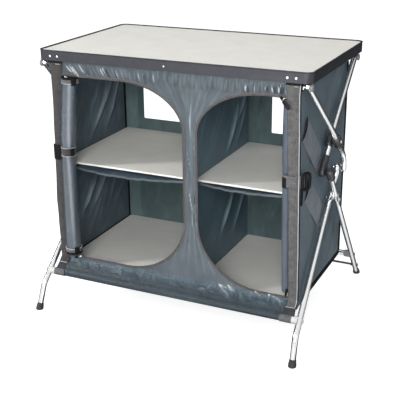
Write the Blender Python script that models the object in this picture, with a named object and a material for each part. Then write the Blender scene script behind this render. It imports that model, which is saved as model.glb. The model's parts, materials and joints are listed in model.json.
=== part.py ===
"""Folding kitchen cupboard: a table top on two scissor sides, with a cloth cupboard hung between them.

Metres, +Z up, the front towards -Y. The origin is on the floor, at the centre of the four feet.
Run with: blender --background --python part.py
"""

from math import copysign, cos, pi, radians, sin, sqrt, tau

import bmesh
import bpy
from mathutils import Matrix, Vector

# Table top
TOP_LENGTH = 0.835
TOP_DEPTH = 0.497
TOP_HEIGHT = 0.800
TOP_SETBACK = 0.010
CORNER_RADIUS = 0.022
EDGE_HEIGHT = 0.028
EDGE_WALL = 0.0030
RIM_WIDTH = 0.0045
RIM_STAND = 0.0006
RIM_ROUNDING = 0.0024
LIP_THICKNESS = 0.0018
EDGE_BREAK = 0.0008
BOARD_THICKNESS = 0.012
LEDGE_WIDTH = 0.0070
LEDGE_THICKNESS = 0.0020
RETURN_WIDTH = 0.0040
RIVET_INSET = 0.0430
RIVET_SPACING = 0.0240
RIVET_RADIUS = 0.0036
SCREW_OFFSET = -0.006

# Scissor sides: an upper and a lower pivot, and a ring of four short bars between them
TUBE_DIAMETER = 0.0175
PLANE_GAP = 0.0030
TOP_PIVOT_DROP = 0.040
TOP_PIVOT_REACH = 0.217
RING_ANGLE = radians(38)
RING_FRONT = 0.098
RING_REAR = 0.134
LOWER_PIVOT_HEIGHT = 0.377
LOWER_PIVOT_SETBACK = 0.0154
STRAIGHT_LEAD = 0.050
FOOT_REACH = 0.330
FOOT_SPLAY = 0.0155
LEG_BEND_HEIGHT = 0.075
LEG_BEND_TOE = 0.030
BEND_RADIUS = 0.060
BAR_OVERHANG = 0.004
FRONT_RAIL_HEIGHT = 0.109
REAR_RAIL_HEIGHT = 0.104
ROD_HEIGHT = 0.045
ROD_RADIUS = 0.0035

# Fastenings and moulded joints
PIN_RADIUS = 0.0030
HEAD_RADIUS = 0.0065
HEAD_THICKNESS = 0.0025
PIN_CLEARANCE = 0.0004
SEAT_GAP = 0.0003
JOINT_WALL = 0.0010
JOINT_BULGE = 0.0030
BLOCK_LENGTH = 0.040
BLOCK_HALF_WIDTH = 0.0150
GRIP_UPPER_LENGTH = 0.050
GRIP_LOWER_LENGTH = 0.026
GRIP_HALF_WIDTH = 0.0150
GRIP_TUBE_STOP = 0.014
PLATE_LENGTH = 0.046
PLATE_WIDTH = 0.026
PLATE_THICKNESS = 0.0020
SOCKET_RADIUS = 0.0115
SOCKET_LENGTH = 0.016
SOCKET_CHAMFER = 0.002
CLIP_LENGTH = 0.030
CLIP_INSET = 0.0465
CLIP_WALL = 0.0035
FOOT_RADIUS = 0.0116
FOOT_LENGTH = 0.020
FOOT_SOLE = 0.0020

# Cloth cupboard
TOP_OVERHANG = 0.0310
BAR_ALLOWANCE = 0.0165
CLOTH_THICKNESS = 0.0012
CLOTH_GAP = 0.0005
DIVIDER_OFFSET = 0.068
FLOOR_HEIGHT = 0.125
FOLD_DEPTH = 0.007
FOLD_PITCH = 0.165
GATHER_DEPTH = 0.0018
GATHERS = 12
HEM_HEIGHT = 0.160
BAND_WIDTH = 0.040
STRIP_WIDTH = 0.0225
DIVIDER_STRIP_LEFT = 0.021
DIVIDER_STRIP_RIGHT = 0.022
ARCH_TOP_RADIUS = 0.130
ARCH_BOTTOM_RADIUS = 0.175
ARCH_WIDTH_RADIUS = 0.195
WINDOW_WIDTH = 0.177
WINDOW_HEIGHT = 0.175
WINDOW_OFFSET = 0.2315
WINDOW_DROP = 0.0788
WINDOW_RADIUS = 0.004
POCKET_THICKNESS = 0.0025
POCKET_LENGTH = 0.190
POCKET_WIDTH = 0.078
POCKET_SLANT = radians(43)
UPPER_POCKET = (-0.127, 0.577)
LOWER_POCKET = (-0.093, 0.396)
ROLL_LEFT_RADIUS = 0.0235
ROLL_RIGHT_RADIUS = 0.0160
ROLL_END_GAP = 0.010
ROLL_WAIST = 0.12
ROLL_LAP = 0.10
ROLL_STATIONS = 6

# Shelves
SHELF_THICKNESS = 0.0060
SHELF_SIDE_GAP = 0.0040
MID_SHELF_HEIGHT = 0.458
MID_SHELF_SETBACK = 0.032
BOTTOM_SHELF_SETBACK = 0.008
SHELF_CORNER = 0.010

# Facets
TUBE_SIDES = 12
PIN_SIDES = 10
SLEEVE_SIDES = 14
SLEEVE_POWER = 0.8
CORNER_STEPS = 4

X = Vector((1, 0, 0))
Y = Vector((0, 1, 0))
Z = Vector((0, 0, 1))

# Side view of the linkage: points are (y, z)
TUBE_RADIUS = TUBE_DIAMETER / 2
DOWN_FRONT = Vector((-sin(RING_ANGLE), -cos(RING_ANGLE)))
DOWN_REAR = Vector((sin(RING_ANGLE), -cos(RING_ANGLE)))
LOWER_PIVOT = Vector((LOWER_PIVOT_SETBACK, LOWER_PIVOT_HEIGHT))
FRONT_KNEE = LOWER_PIVOT - RING_REAR * DOWN_REAR
REAR_KNEE = LOWER_PIVOT - RING_FRONT * DOWN_FRONT
UPPER_PIVOT = FRONT_KNEE - RING_FRONT * DOWN_FRONT
FRONT_TOP = Vector((UPPER_PIVOT.x - TOP_PIVOT_REACH, TOP_HEIGHT - TOP_PIVOT_DROP))
REAR_TOP = Vector((UPPER_PIVOT.x + TOP_PIVOT_REACH, FRONT_TOP.y))
LEG_BEND = Vector((LEG_BEND_TOE - FOOT_REACH, LEG_BEND_HEIGHT))
FRONT_FOOT = Vector((-FOOT_REACH, 0))
REAR_FOOT = Vector((FOOT_REACH, 0))

# Planes across the object
CUPBOARD_HALF_WIDTH = TOP_LENGTH / 2 - TOP_OVERHANG
INNER_X = CUPBOARD_HALF_WIDTH + BAR_ALLOWANCE
OUTER_X = INNER_X + TUBE_DIAMETER + PLANE_GAP
FOOT_HALF_TRACK = INNER_X + FOOT_SPLAY
CLIP_OFFSET = CUPBOARD_HALF_WIDTH - CLIP_INSET
JOINT_HALF = TUBE_RADIUS + JOINT_WALL

# Table top levels and faces
FRONT_FACE = TOP_SETBACK - TOP_DEPTH / 2
BOARD_TOP = TOP_HEIGHT - RIM_STAND
BOARD_UNDERSIDE = BOARD_TOP - BOARD_THICKNESS
LEDGE_TOP = BOARD_UNDERSIDE - SEAT_GAP
LEDGE_UNDERSIDE = LEDGE_TOP - LEDGE_THICKNESS
EDGE_BOTTOM = TOP_HEIGHT - EDGE_HEIGHT

# Cloth planes
CLOTH_TOP = EDGE_BOTTOM - CLOTH_GAP
FRONT_CLOTH = FRONT_TOP.x - TUBE_RADIUS - CLOTH_GAP - CLOTH_THICKNESS / 2
BACK_CLOTH = REAR_TOP.x - TUBE_RADIUS - CLOTH_GAP - CLOTH_THICKNESS / 2
BACK_TOP = REAR_TOP.y - TUBE_RADIUS - CLIP_WALL - 2 * CLOTH_GAP
BOTTOM_SHELF_UNDERSIDE = FLOOR_HEIGHT + CLOTH_THICKNESS / 2 + SEAT_GAP
MID_SHELF_UNDERSIDE = MID_SHELF_HEIGHT - SHELF_THICKNESS
OPENING_TOP = CLOTH_TOP - BAND_WIDTH

FINISHES = {
    "laminate": ((0.72, 0.71, 0.67), 0.45, 0.0),
    "edge": ((0.082, 0.080, 0.098), 0.42, 0.1),
    "aluminium": ((0.86, 0.86, 0.87), 0.25, 1.0),
    "dark_plastic": ((0.035, 0.036, 0.040), 0.5, 0.0),
    "pale_plastic": ((0.62, 0.62, 0.60), 0.45, 0.0),
    "steel": ((0.62, 0.62, 0.63), 0.3, 1.0),
    "rod": ((0.16, 0.16, 0.17), 0.5, 0.6),
    "rubber": ((0.045, 0.045, 0.050), 0.7, 0.0),
    "board": ((0.34, 0.33, 0.30), 0.5, 0.0),
    "cloth": ((0.062, 0.105, 0.143), 0.8, 0.0),
}


def clear_scene():
    for obj in list(bpy.data.objects):
        bpy.data.objects.remove(obj, do_unlink=True)


def finish(obj, kind):
    """Gives the object its own Principled material."""
    colour, roughness, metallic = FINISHES[kind]
    material = bpy.data.materials.new(obj.name + "_finish")
    material.use_nodes = True
    shader = material.node_tree.nodes["Principled BSDF"]
    shader.inputs["Base Color"].default_value = (*colour, 1)
    shader.inputs["Roughness"].default_value = roughness
    shader.inputs["Metallic"].default_value = metallic
    obj.data.materials.append(material)


def new_object(name, rings_or_mesh, kind=None, body=None):
    """Links a mesh under its body's empty, whose origin is on the joint's axis, and shades it smooth."""
    mesh = bpy.data.meshes.new(name)
    rings_or_mesh.to_mesh(mesh)
    rings_or_mesh.free()
    mesh.shade_smooth()
    mesh.set_sharp_from_angle(angle=radians(35))
    obj = bpy.data.objects.new(name, mesh)
    bpy.context.scene.collection.objects.link(obj)
    if kind:
        finish(obj, kind)
    if body:
        mesh.transform(Matrix.Translation(-body.location))
        obj.parent = body
    return obj


def as_cutter(obj):
    obj.hide_render = True
    obj.display_type = "WIRE"
    return obj


def cut(target, cutter):
    modifier = target.modifiers.new("cut", "BOOLEAN")
    modifier.operation = "DIFFERENCE"
    modifier.object = as_cutter(cutter)


def join(target, other):
    modifier = target.modifiers.new("join", "BOOLEAN")
    modifier.operation = "UNION"
    modifier.object = as_cutter(other)


def loft(rings, closed=False):
    """A bmesh skinned over rings of equal length, capped at both ends unless the rings form a loop."""
    mesh = bmesh.new()
    rows = [[mesh.verts.new(point) for point in ring] for ring in rings]
    pairs = list(zip(rows, rows[1:]))
    if closed:
        pairs.append((rows[-1], rows[0]))
    for first, second in pairs:
        for i in range(len(first)):
            j = (i + 1) % len(first)
            mesh.faces.new((first[i], first[j], second[j], second[i]))
    if not closed:
        mesh.faces.new(rows[0])
        mesh.faces.new(rows[-1])
    bmesh.ops.recalc_face_normals(mesh, faces=mesh.faces)
    return mesh


def section(centre, side, up, half_side, half_up, count, power=1.0):
    """A ring round centre: an ellipse at power 1, squarer as the power falls."""
    points = []
    for i in range(count):
        angle = tau * (i + 0.5) / count
        across = copysign(abs(cos(angle)) ** power, cos(angle)) * half_side
        along = copysign(abs(sin(angle)) ** power, sin(angle)) * half_up
        points.append(centre + across * side + along * up)
    return points


def in_plane(x, point):
    """A 3-D point from an (y, z) point of the side view."""
    return Vector((x, point[0], point[1]))


def mirrored(path, side):
    return [Vector((side * point.x, point.y, point.z)) for point in path]


def side_name(side):
    return "right" if side > 0 else "left"


def rounded(path, radius, steps=5):
    """The path with each corner replaced by an arc of this radius."""
    points = [path[0]]
    for before, corner, after in zip(path, path[1:], path[2:]):
        back = (before - corner).normalized()
        ahead = (after - corner).normalized()
        turn = pi - back.angle(ahead)
        if turn < radians(1):
            points.append(corner)
            continue
        reach = radius * sin(turn / 2) / cos(turn / 2)
        start = corner + back * reach
        centre = corner + (back + ahead).normalized() * (radius / cos(turn / 2))
        first = start - centre
        axis = first.cross(corner + ahead * reach - centre).normalized()
        for i in range(steps + 1):
            points.append(centre + Matrix.Rotation(turn * i / steps, 3, axis) @ first)
    points.append(path[-1])
    return points


def bezier(start, start_handle, end_handle, end, steps):
    points = []
    for i in range(steps + 1):
        t = i / steps
        s = 1 - t
        near_start = s**3 * start + 3 * s * s * t * start_handle
        near_end = 3 * s * t * t * end_handle + t**3 * end
        points.append(near_start + near_end)
    return points


def tube_rings(path, radius, sides, domed=(False, False)):
    """Rings square to the path, with a domed end where asked."""
    stations = [(point, 1.0) for point in path]
    start_way = (path[0] - path[1]).normalized()
    end_way = (path[-1] - path[-2]).normalized()
    for reach in (0.60, 0.96):
        size = sqrt(1 - reach * reach)
        if domed[0]:
            stations.insert(0, (path[0] + start_way * radius * reach, size))
        if domed[1]:
            stations.append((path[-1] + end_way * radius * reach, size))
    rings = []
    for i, (point, size) in enumerate(stations):
        before = stations[max(i - 1, 0)][0]
        after = stations[min(i + 1, len(stations) - 1)][0]
        way = (after - before).normalized()
        side = (X - X.dot(way) * way).normalized()
        rings.append(section(point, side, way.cross(side), radius * size, radius * size, sides))
    return rings


def turned(profile, centre, axis, sides=PIN_SIDES):
    """A solid of revolution from (distance along axis, radius) pairs about a line through centre."""
    side = axis.orthogonal().normalized()
    up = axis.cross(side)
    return loft([section(centre + axis * s, side, up, r, r, sides) for s, r in profile])


def head(start, way, radius=HEAD_RADIUS, thickness=HEAD_THICKNESS):
    """Profile pairs of a low domed head that starts flat at start and grows along way (1 or -1)."""
    shoulder = (start + way * thickness * 0.6, radius * 0.9)
    crown = (start + way * thickness, radius * 0.5)
    return [(start, radius), shoulder, crown]


def bore(target, centre, axis, radius, half_length):
    """A round hole whose flats, not its corners, lie at this radius, so that a round pin turns in it."""
    corner = radius / cos(pi / PIN_SIDES)
    profile = [(-half_length, corner), (half_length, corner)]
    cut(target, new_object(target.name + "_bore", turned(profile, centre, axis)))


def on_line(start, end, height):
    """The (y, z) point of a line at this height."""
    share = (start.y - height) / (start.y - end.y)
    return Vector((start.x + (end.x - start.x) * share, height))


def leg_x(top_x, height):
    """A leg leans from its plane at the lower pivot to the track at the floor."""
    return FOOT_HALF_TRACK + (top_x - FOOT_HALF_TRACK) * height / LOWER_PIVOT_HEIGHT


# Bars of one side, as centre lines for the right side


def past(point, towards, distance):
    """The point moved away from towards by this distance."""
    return point + (point - towards).normalized() * distance


def upper_bar_start(x, top_point):
    """An upper bar's first points: its end at the top pivot, and its straight lead into the upper pivot."""
    top = in_plane(INNER_X, top_point)
    pivot = in_plane(x, UPPER_PIVOT)
    rise = (top_point - UPPER_PIVOT).normalized() * STRAIGHT_LEAD
    lead = in_plane(x, UPPER_PIVOT + rise)
    return [past(top, lead, BAR_OVERHANG), lead, pivot]


def bow(pivot, pivot_way, knee, steps=6):
    """A tube's bend from a pivot to upright at the rear knee, and a little past it."""
    length = (knee - pivot).length
    upright = Z * copysign(1, pivot.z - knee.z)
    curve = bezier(pivot, pivot + pivot_way * length * 0.45, knee + upright * length * 0.40, knee, steps)
    return curve[1:] + [knee - upright * BAR_OVERHANG]


def above_sole(foot, joint):
    """Where a leg's tube ends, so that all of its end stands above the sole of its foot."""
    way = (joint - foot).normalized()
    level = sqrt(1 - way.z * way.z)
    return foot + way * (FOOT_SOLE + TUBE_RADIUS * level) / way.z


def upper_front_path():
    top, lead, pivot = upper_bar_start(OUTER_X, FRONT_TOP)
    knee = in_plane(OUTER_X, REAR_KNEE)
    return [top, lead, pivot] + bow(pivot, (pivot - lead).normalized(), knee)


def upper_rear_path():
    top, lead, pivot = upper_bar_start(INNER_X, REAR_TOP)
    knee = in_plane(INNER_X, FRONT_KNEE)
    stop = past(knee, pivot, -GRIP_TUBE_STOP)
    return rounded([top, pivot, stop], BEND_RADIUS, 3)


def rear_leg_path():
    knee = in_plane(OUTER_X, FRONT_KNEE)
    pivot = in_plane(OUTER_X, LOWER_PIVOT)
    foot = in_plane(FOOT_HALF_TRACK, REAR_FOOT)
    start = past(knee, pivot, -GRIP_TUBE_STOP)
    return rounded([start, pivot, above_sole(foot, pivot)], BEND_RADIUS, 3)


def front_leg_path():
    knee = in_plane(INNER_X, REAR_KNEE)
    pivot = in_plane(INNER_X, LOWER_PIVOT)
    bend = in_plane(leg_x(INNER_X, LEG_BEND_HEIGHT), LEG_BEND)
    foot = in_plane(FOOT_HALF_TRACK, FRONT_FOOT)
    upper = bow(pivot, (pivot - bend).normalized(), knee)
    lower = rounded([pivot, bend, above_sole(foot, bend)], BEND_RADIUS, 4)
    return upper[::-1] + lower


# Table top


def rounded_rectangle(inset):
    """Points round the table top, this far in from its edge."""
    radius = max(CORNER_RADIUS - inset, SEAT_GAP)
    half_x = TOP_LENGTH / 2 - inset - radius
    half_y = TOP_DEPTH / 2 - inset - radius
    points = []
    for quarter, (sx, sy) in enumerate(((1, 1), (-1, 1), (-1, -1), (1, -1))):
        for i in range(CORNER_STEPS + 1):
            angle = (quarter + i / CORNER_STEPS) * pi / 2
            x = sx * half_x + radius * cos(angle)
            y = sy * half_y + radius * sin(angle)
            points.append((x, TOP_SETBACK + y))
    return points


def make_edge_frame(body):
    """The profile round the board: a wall with a rim, a ledge under the board, and a folded lower lip."""
    profile = [
        (0, EDGE_BOTTOM),
        (0, TOP_HEIGHT - RIM_ROUNDING),
        (RIM_ROUNDING * 0.3, TOP_HEIGHT - RIM_ROUNDING * 0.3),
        (RIM_ROUNDING, TOP_HEIGHT),
        (RIM_WIDTH - EDGE_BREAK, TOP_HEIGHT),
        (RIM_WIDTH, TOP_HEIGHT - EDGE_BREAK),
        (RIM_WIDTH, LEDGE_TOP),
        (RIM_WIDTH + LEDGE_WIDTH, LEDGE_TOP),
        (RIM_WIDTH + LEDGE_WIDTH, LEDGE_UNDERSIDE),
        (EDGE_WALL, LEDGE_UNDERSIDE),
        (EDGE_WALL, EDGE_BOTTOM + LIP_THICKNESS),
        (EDGE_WALL + RETURN_WIDTH, EDGE_BOTTOM + LIP_THICKNESS),
        (EDGE_WALL + RETURN_WIDTH, EDGE_BOTTOM),
    ]
    outlines = [[Vector((x, y, z)) for x, y in rounded_rectangle(inset)] for inset, z in profile]
    stations = [list(station) for station in zip(*outlines)]
    frame = new_object("edge_frame", loft(stations, closed=True), "edge", body)
    for x in rivet_places() + [SCREW_OFFSET]:
        place = Vector((x, FRONT_FACE, rivet_height()))
        bore(frame, place, Y, RIVET_RADIUS * 0.5 + PIN_CLEARANCE, EDGE_WALL * 1.5)


def rivet_height():
    return (EDGE_BOTTOM + TOP_HEIGHT) / 2 - 0.001


def rivet_places():
    outer = TOP_LENGTH / 2 - RIVET_INSET
    return [-outer, RIVET_SPACING - outer, outer - RIVET_SPACING, outer]


def make_edge_rivets(body):
    """Domed rivets that hold the corner pieces, and a smaller screw at the middle."""
    names = ["edge_rivet_%d" % (i + 1) for i in range(4)] + ["centre_screw"]
    for name, x in zip(names, rivet_places() + [SCREW_OFFSET]):
        size = RIVET_RADIUS if name != "centre_screw" else RIVET_RADIUS * 0.75
        profile = head(-SEAT_GAP, -1, size, size * 0.5)[::-1]
        profile += [(-SEAT_GAP, RIVET_RADIUS * 0.5), (EDGE_WALL - SEAT_GAP, RIVET_RADIUS * 0.5)]
        mesh = turned(profile, Vector((x, FRONT_FACE, rivet_height())), Y, 10)
        new_object(name, mesh, "steel", body)


def make_board(body):
    """The laminated board, with a small chamfer round its upper edge."""
    gap = RIM_WIDTH + SEAT_GAP
    levels = [(gap, BOARD_UNDERSIDE), (gap, BOARD_TOP - EDGE_BREAK), (gap + EDGE_BREAK, BOARD_TOP)]
    rings = [[Vector((x, y, z)) for x, y in rounded_rectangle(inset)] for inset, z in levels]
    new_object("top_panel", loft(rings), "laminate", body)


def extruded(outline, axis, start, end):
    """A prism: outline is a list of 3-D points in a plane square to axis."""
    return loft([[point + axis * start for point in outline], [point + axis * end for point in outline]])


def clip_outline(front, back, top, bottom, chamfer):
    return [
        in_plane(0, (front, top)),
        in_plane(0, (back, top)),
        in_plane(0, (back, bottom + chamfer)),
        in_plane(0, (back - chamfer, bottom)),
        in_plane(0, (front + chamfer, bottom)),
        in_plane(0, (front, bottom + chamfer)),
    ]


def make_front_clip(body, side):
    """A moulded bearing under the ledge, in which the front cross tube turns."""
    reach = TUBE_RADIUS + CLIP_WALL
    front = max(FRONT_FACE + EDGE_WALL + RETURN_WIDTH + SEAT_GAP, FRONT_TOP.x - reach)
    top = LEDGE_UNDERSIDE - SEAT_GAP
    outline = clip_outline(front, FRONT_TOP.x + reach, top, FRONT_TOP.y - reach, CLIP_WALL)
    start = side * CLIP_OFFSET - CLIP_LENGTH / 2
    solid = extruded(outline, X, start, start + CLIP_LENGTH)
    clip = new_object("front_clip_" + side_name(side), solid, "dark_plastic", body)
    centre = in_plane(side * CLIP_OFFSET, FRONT_TOP)
    bore(clip, centre, X, TUBE_RADIUS + SEAT_GAP, CLIP_LENGTH)


def make_rear_hook(body, side):
    """A moulded hook that the rear cross tube slides into from behind."""
    reach = TUBE_RADIUS + CLIP_WALL
    front, back = REAR_TOP.x - reach, REAR_TOP.x + reach
    outline = clip_outline(front, back, BOARD_UNDERSIDE - SEAT_GAP, REAR_TOP.y - reach, CLIP_WALL)
    start = side * CLIP_OFFSET - CLIP_LENGTH / 2
    solid = extruded(outline, X, start, start + CLIP_LENGTH)
    hook = new_object("rear_hook_" + side_name(side), solid, "dark_plastic", body)
    centre = in_plane(side * CLIP_OFFSET, REAR_TOP)
    bore(hook, centre, X, TUBE_RADIUS + SEAT_GAP, CLIP_LENGTH)
    half = TUBE_RADIUS + SEAT_GAP
    corners = ((0, -half), (2 * reach, -half), (2 * reach, half), (0, half))
    slot = [in_plane(0, (REAR_TOP.x + y, REAR_TOP.y + z)) for y, z in corners]
    opening = extruded(slot, X, start - CLIP_WALL, start + CLIP_LENGTH + CLIP_WALL)
    cut(hook, new_object(hook.name + "_slot", opening))


# Scissor sides


def make_cross_tube(name, body, place):
    """A cross tube whose turned-down ends pass through the bars, with a domed head outside each."""
    lean = (OUTER_X - INNER_X) / ((FRONT_TOP - UPPER_PIVOT).length - STRAIGHT_LEAD)
    gap = SEAT_GAP + lean * (BAR_OVERHANG + TUBE_RADIUS)
    shoulder = INNER_X - TUBE_RADIUS - gap
    outside = INNER_X + TUBE_RADIUS + gap
    half = head(outside, 1)[::-1]
    half += [(outside, PIN_RADIUS), (shoulder, PIN_RADIUS), (shoulder, TUBE_RADIUS)]
    profile = [(-s, r) for s, r in half] + half[::-1]
    new_object(name, turned(profile, in_plane(0, place), X, TUBE_SIDES), "aluminium", body)


def make_bar(name, path, body, side, domed, pivots):
    """A round tube along path, bored through at each pivot, given as ((y, z), x) pairs."""
    rings = tube_rings(mirrored(path, side), TUBE_RADIUS, TUBE_SIDES, domed)
    bar = new_object(name + "_" + side_name(side), loft(rings), "aluminium", body)
    for place, x in pivots:
        bore(bar, in_plane(side * x, place), X, PIN_RADIUS + PIN_CLEARANCE, 2 * TUBE_RADIUS)
    return bar


def cut_tube(target, path, side):
    """Makes room for a bar, with the seat gap all round it."""
    rings = tube_rings(mirrored(path, side), TUBE_RADIUS + SEAT_GAP, TUBE_SIDES)
    cut(target, new_object(target.name + "_seat", loft(rings)))


def joint_sleeve(name, body, side, x, outward, start, way, stations):
    """A moulded sleeve along a bar, its outer side bulging by outward.

    The stations are (distance along way, half width, share of the full depth).
    """
    rings = []
    across = in_plane(0, (-way[1], way[0]))
    half_depth = JOINT_HALF + outward / 2
    for distance, half, depth in stations:
        centre = in_plane(side * x, start + way * distance) + X * side * outward / 2
        rings.append(section(centre, X, across, half_depth * depth, half, SLEEVE_SIDES, SLEEVE_POWER))
    return new_object(name + "_" + side_name(side), loft(rings), "dark_plastic", body)


def block_stations():
    half = BLOCK_LENGTH / 2
    shares = ((-1, 0.8), (-0.8, 1), (0.8, 1), (1, 0.8))
    return [(half * along, BLOCK_HALF_WIDTH * across, 1) for along, across in shares]


def grip_stations(length):
    """Widths of a knee's grip, from its rounded end past the hinge to its mouth on the bar."""
    width = GRIP_HALF_WIDTH
    rounded_end = [(-width * 0.95, width * 0.35, 0.65), (-width * 0.7, width * 0.75, 0.9)]
    shares = ((0, 1), (0.5, 1), (0.86, 0.84), (1, 0.72))
    sleeve = [(length * along, width * across, 1) for along, across in shares]
    return rounded_end + sleeve


def make_upper_joint(front_body, rear_body, side):
    """The two moulded blocks at the upper pivot, and the bolt through them."""
    stations = block_stations()
    pivot = UPPER_PIVOT
    way = (FRONT_TOP - pivot).normalized()
    outer = joint_sleeve("upper_block_outer", front_body, side, OUTER_X, JOINT_BULGE, pivot, way, stations)
    way = (REAR_TOP - pivot).normalized()
    inner = joint_sleeve("upper_block_inner", rear_body, side, INNER_X, 0, pivot, way, stations)
    cut_tube(outer, upper_front_path(), side)
    cut_tube(inner, upper_rear_path(), side)
    for block, x in ((outer, OUTER_X), (inner, INNER_X)):
        bore(block, in_plane(side * x, UPPER_PIVOT), X, PIN_RADIUS + PIN_CLEARANCE, 2 * TUBE_RADIUS)
    inside = INNER_X - JOINT_HALF - SEAT_GAP
    outside = OUTER_X + JOINT_HALF + JOINT_BULGE + SEAT_GAP
    profile = head(inside, -1)[::-1] + [(inside, PIN_RADIUS), (outside, PIN_RADIUS)] + head(outside, 1)
    solid = turned_on_side(profile, UPPER_PIVOT, side)
    new_object("upper_bolt_" + side_name(side), solid, "steel", rear_body)


def turned_on_side(profile, place, side, sides=PIN_SIDES):
    """A solid of revolution across the object, its profile given for the right side."""
    pairs = profile if side > 0 else [(-s, r) for s, r in profile][::-1]
    return turned(pairs, in_plane(0, place), X, sides)


def make_knee(rear_body, leg_body, side):
    """The front knee: a grip on each bar, hinged on a pin that is part of the outer one."""
    inner_way = (UPPER_PIVOT - FRONT_KNEE).normalized()
    inner = joint_sleeve("grip_inner", rear_body, side, INNER_X, 0, FRONT_KNEE, inner_way,
                         grip_stations(GRIP_UPPER_LENGTH))
    outer_way = (LOWER_PIVOT - FRONT_KNEE).normalized()
    outer = joint_sleeve("grip_outer", leg_body, side, OUTER_X, JOINT_BULGE, FRONT_KNEE, outer_way,
                         grip_stations(GRIP_LOWER_LENGTH))
    cut_tube(inner, upper_rear_path(), side)
    cut_tube(outer, rear_leg_path(), side)
    bore(inner, in_plane(side * INNER_X, FRONT_KNEE), X, PIN_RADIUS + PIN_CLEARANCE, 2 * TUBE_RADIUS)
    inside = INNER_X - JOINT_HALF - SEAT_GAP
    profile = head(inside, -1)[::-1] + [(inside, PIN_RADIUS), (OUTER_X, PIN_RADIUS)]
    join(outer, new_object(outer.name + "_pin", turned_on_side(profile, FRONT_KNEE, side)))


def make_lower_joint(front_leg, rear_leg, side):
    """The pressed plate over the lower pivot, and the bolt that also spaces the two legs."""
    plate_inside = OUTER_X + TUBE_RADIUS + SEAT_GAP
    way = (UPPER_PIVOT - REAR_FOOT).normalized()
    along = in_plane(0, way)
    across = in_plane(0, (-way[1], way[0]))
    rings = []
    for x, size in ((plate_inside, 1.0), (plate_inside + PLATE_THICKNESS * 0.6, 1.0),
                    (plate_inside + PLATE_THICKNESS, 0.93)):
        centre = in_plane(side * x, LOWER_PIVOT)
        half_length, half_width = PLATE_LENGTH / 2 * size, PLATE_WIDTH / 2 * size
        rings.append(section(centre, along, across, half_length, half_width, SLEEVE_SIDES, SLEEVE_POWER))
    plate = new_object("lower_plate_" + side_name(side), loft(rings), "steel", rear_leg)
    centre = in_plane(side * plate_inside, LOWER_PIVOT)
    bore(plate, centre, X, PIN_RADIUS + PIN_CLEARANCE, 3 * PLATE_THICKNESS)
    inside = INNER_X - TUBE_RADIUS - SEAT_GAP
    outside = plate_inside + PLATE_THICKNESS + SEAT_GAP
    spacer_in = INNER_X + TUBE_RADIUS + SEAT_GAP
    spacer_out = OUTER_X - TUBE_RADIUS - SEAT_GAP
    profile = head(inside, -1)[::-1] + [
        (inside, PIN_RADIUS),
        (spacer_in, PIN_RADIUS),
        (spacer_in, HEAD_RADIUS),
        (spacer_out, HEAD_RADIUS),
        (spacer_out, PIN_RADIUS),
        (outside, PIN_RADIUS),
    ] + head(outside, 1)
    solid = turned_on_side(profile, LOWER_PIVOT, side)
    new_object("lower_bolt_" + side_name(side), solid, "steel", front_leg)


def make_rear_knee_pin(bar, side):
    """The pin of the rear knee, part of the upper bar, with a spacer and a head inside the leg."""
    inside = INNER_X - TUBE_RADIUS - SEAT_GAP
    spacer = INNER_X + TUBE_RADIUS + SEAT_GAP
    profile = head(inside, -1)[::-1] + [
        (inside, PIN_RADIUS),
        (spacer, PIN_RADIUS),
        (spacer, HEAD_RADIUS),
        (OUTER_X - TUBE_RADIUS / 2, HEAD_RADIUS),
    ]
    join(bar, new_object(bar.name + "_pin", turned_on_side(profile, REAR_KNEE, side)))


def make_rail(name, body, place, top_x):
    """A rail between two legs, as long as its sockets leave it."""
    end = leg_x(top_x, place.y) - TUBE_RADIUS - SEAT_GAP - SOCKET_LENGTH
    profile = [(-end, TUBE_RADIUS), (end, TUBE_RADIUS)]
    new_object(name, turned(profile, in_plane(0, place), X, TUBE_SIDES), "aluminium", body)


def make_socket(name, body, side, place, top_x, leg_path):
    """A moulded socket between a rail and a leg, with its stud through the leg and a head outside."""
    leg = leg_x(top_x, place.y)
    start = leg - TUBE_RADIUS - SOCKET_LENGTH
    outside = leg + TUBE_RADIUS + SEAT_GAP
    profile = [(start, SOCKET_RADIUS - SOCKET_CHAMFER), (start + SOCKET_CHAMFER, SOCKET_RADIUS),
               (leg - TUBE_RADIUS / 2, SOCKET_RADIUS)]
    stud = [(leg - TUBE_RADIUS, PIN_RADIUS), (outside, PIN_RADIUS)] + head(outside, 1)
    mesh = turned_on_side(profile, place, side, TUBE_SIDES)
    socket = new_object(name + "_" + side_name(side), mesh, "pale_plastic", body)
    cut_tube(socket, leg_path, side)
    join(socket, new_object(socket.name + "_stud", turned_on_side(stud, place, side)))


def make_rear_rod(body, place):
    """The thin rod between the rear legs, its ends through the legs."""
    leg = leg_x(OUTER_X, place.y)
    shoulder = leg - TUBE_RADIUS - SEAT_GAP
    outside = leg + TUBE_RADIUS + SEAT_GAP
    flange = shoulder - HEAD_THICKNESS
    half = head(outside, 1)[::-1] + [
        (outside, PIN_RADIUS),
        (shoulder, PIN_RADIUS),
        (shoulder, HEAD_RADIUS),
        (flange, HEAD_RADIUS),
        (flange, ROD_RADIUS),
    ]
    profile = [(-s, r) for s, r in half] + half[::-1]
    new_object("rear_rod", turned(profile, in_plane(0, place), X, 8), "rod", body)


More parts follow.
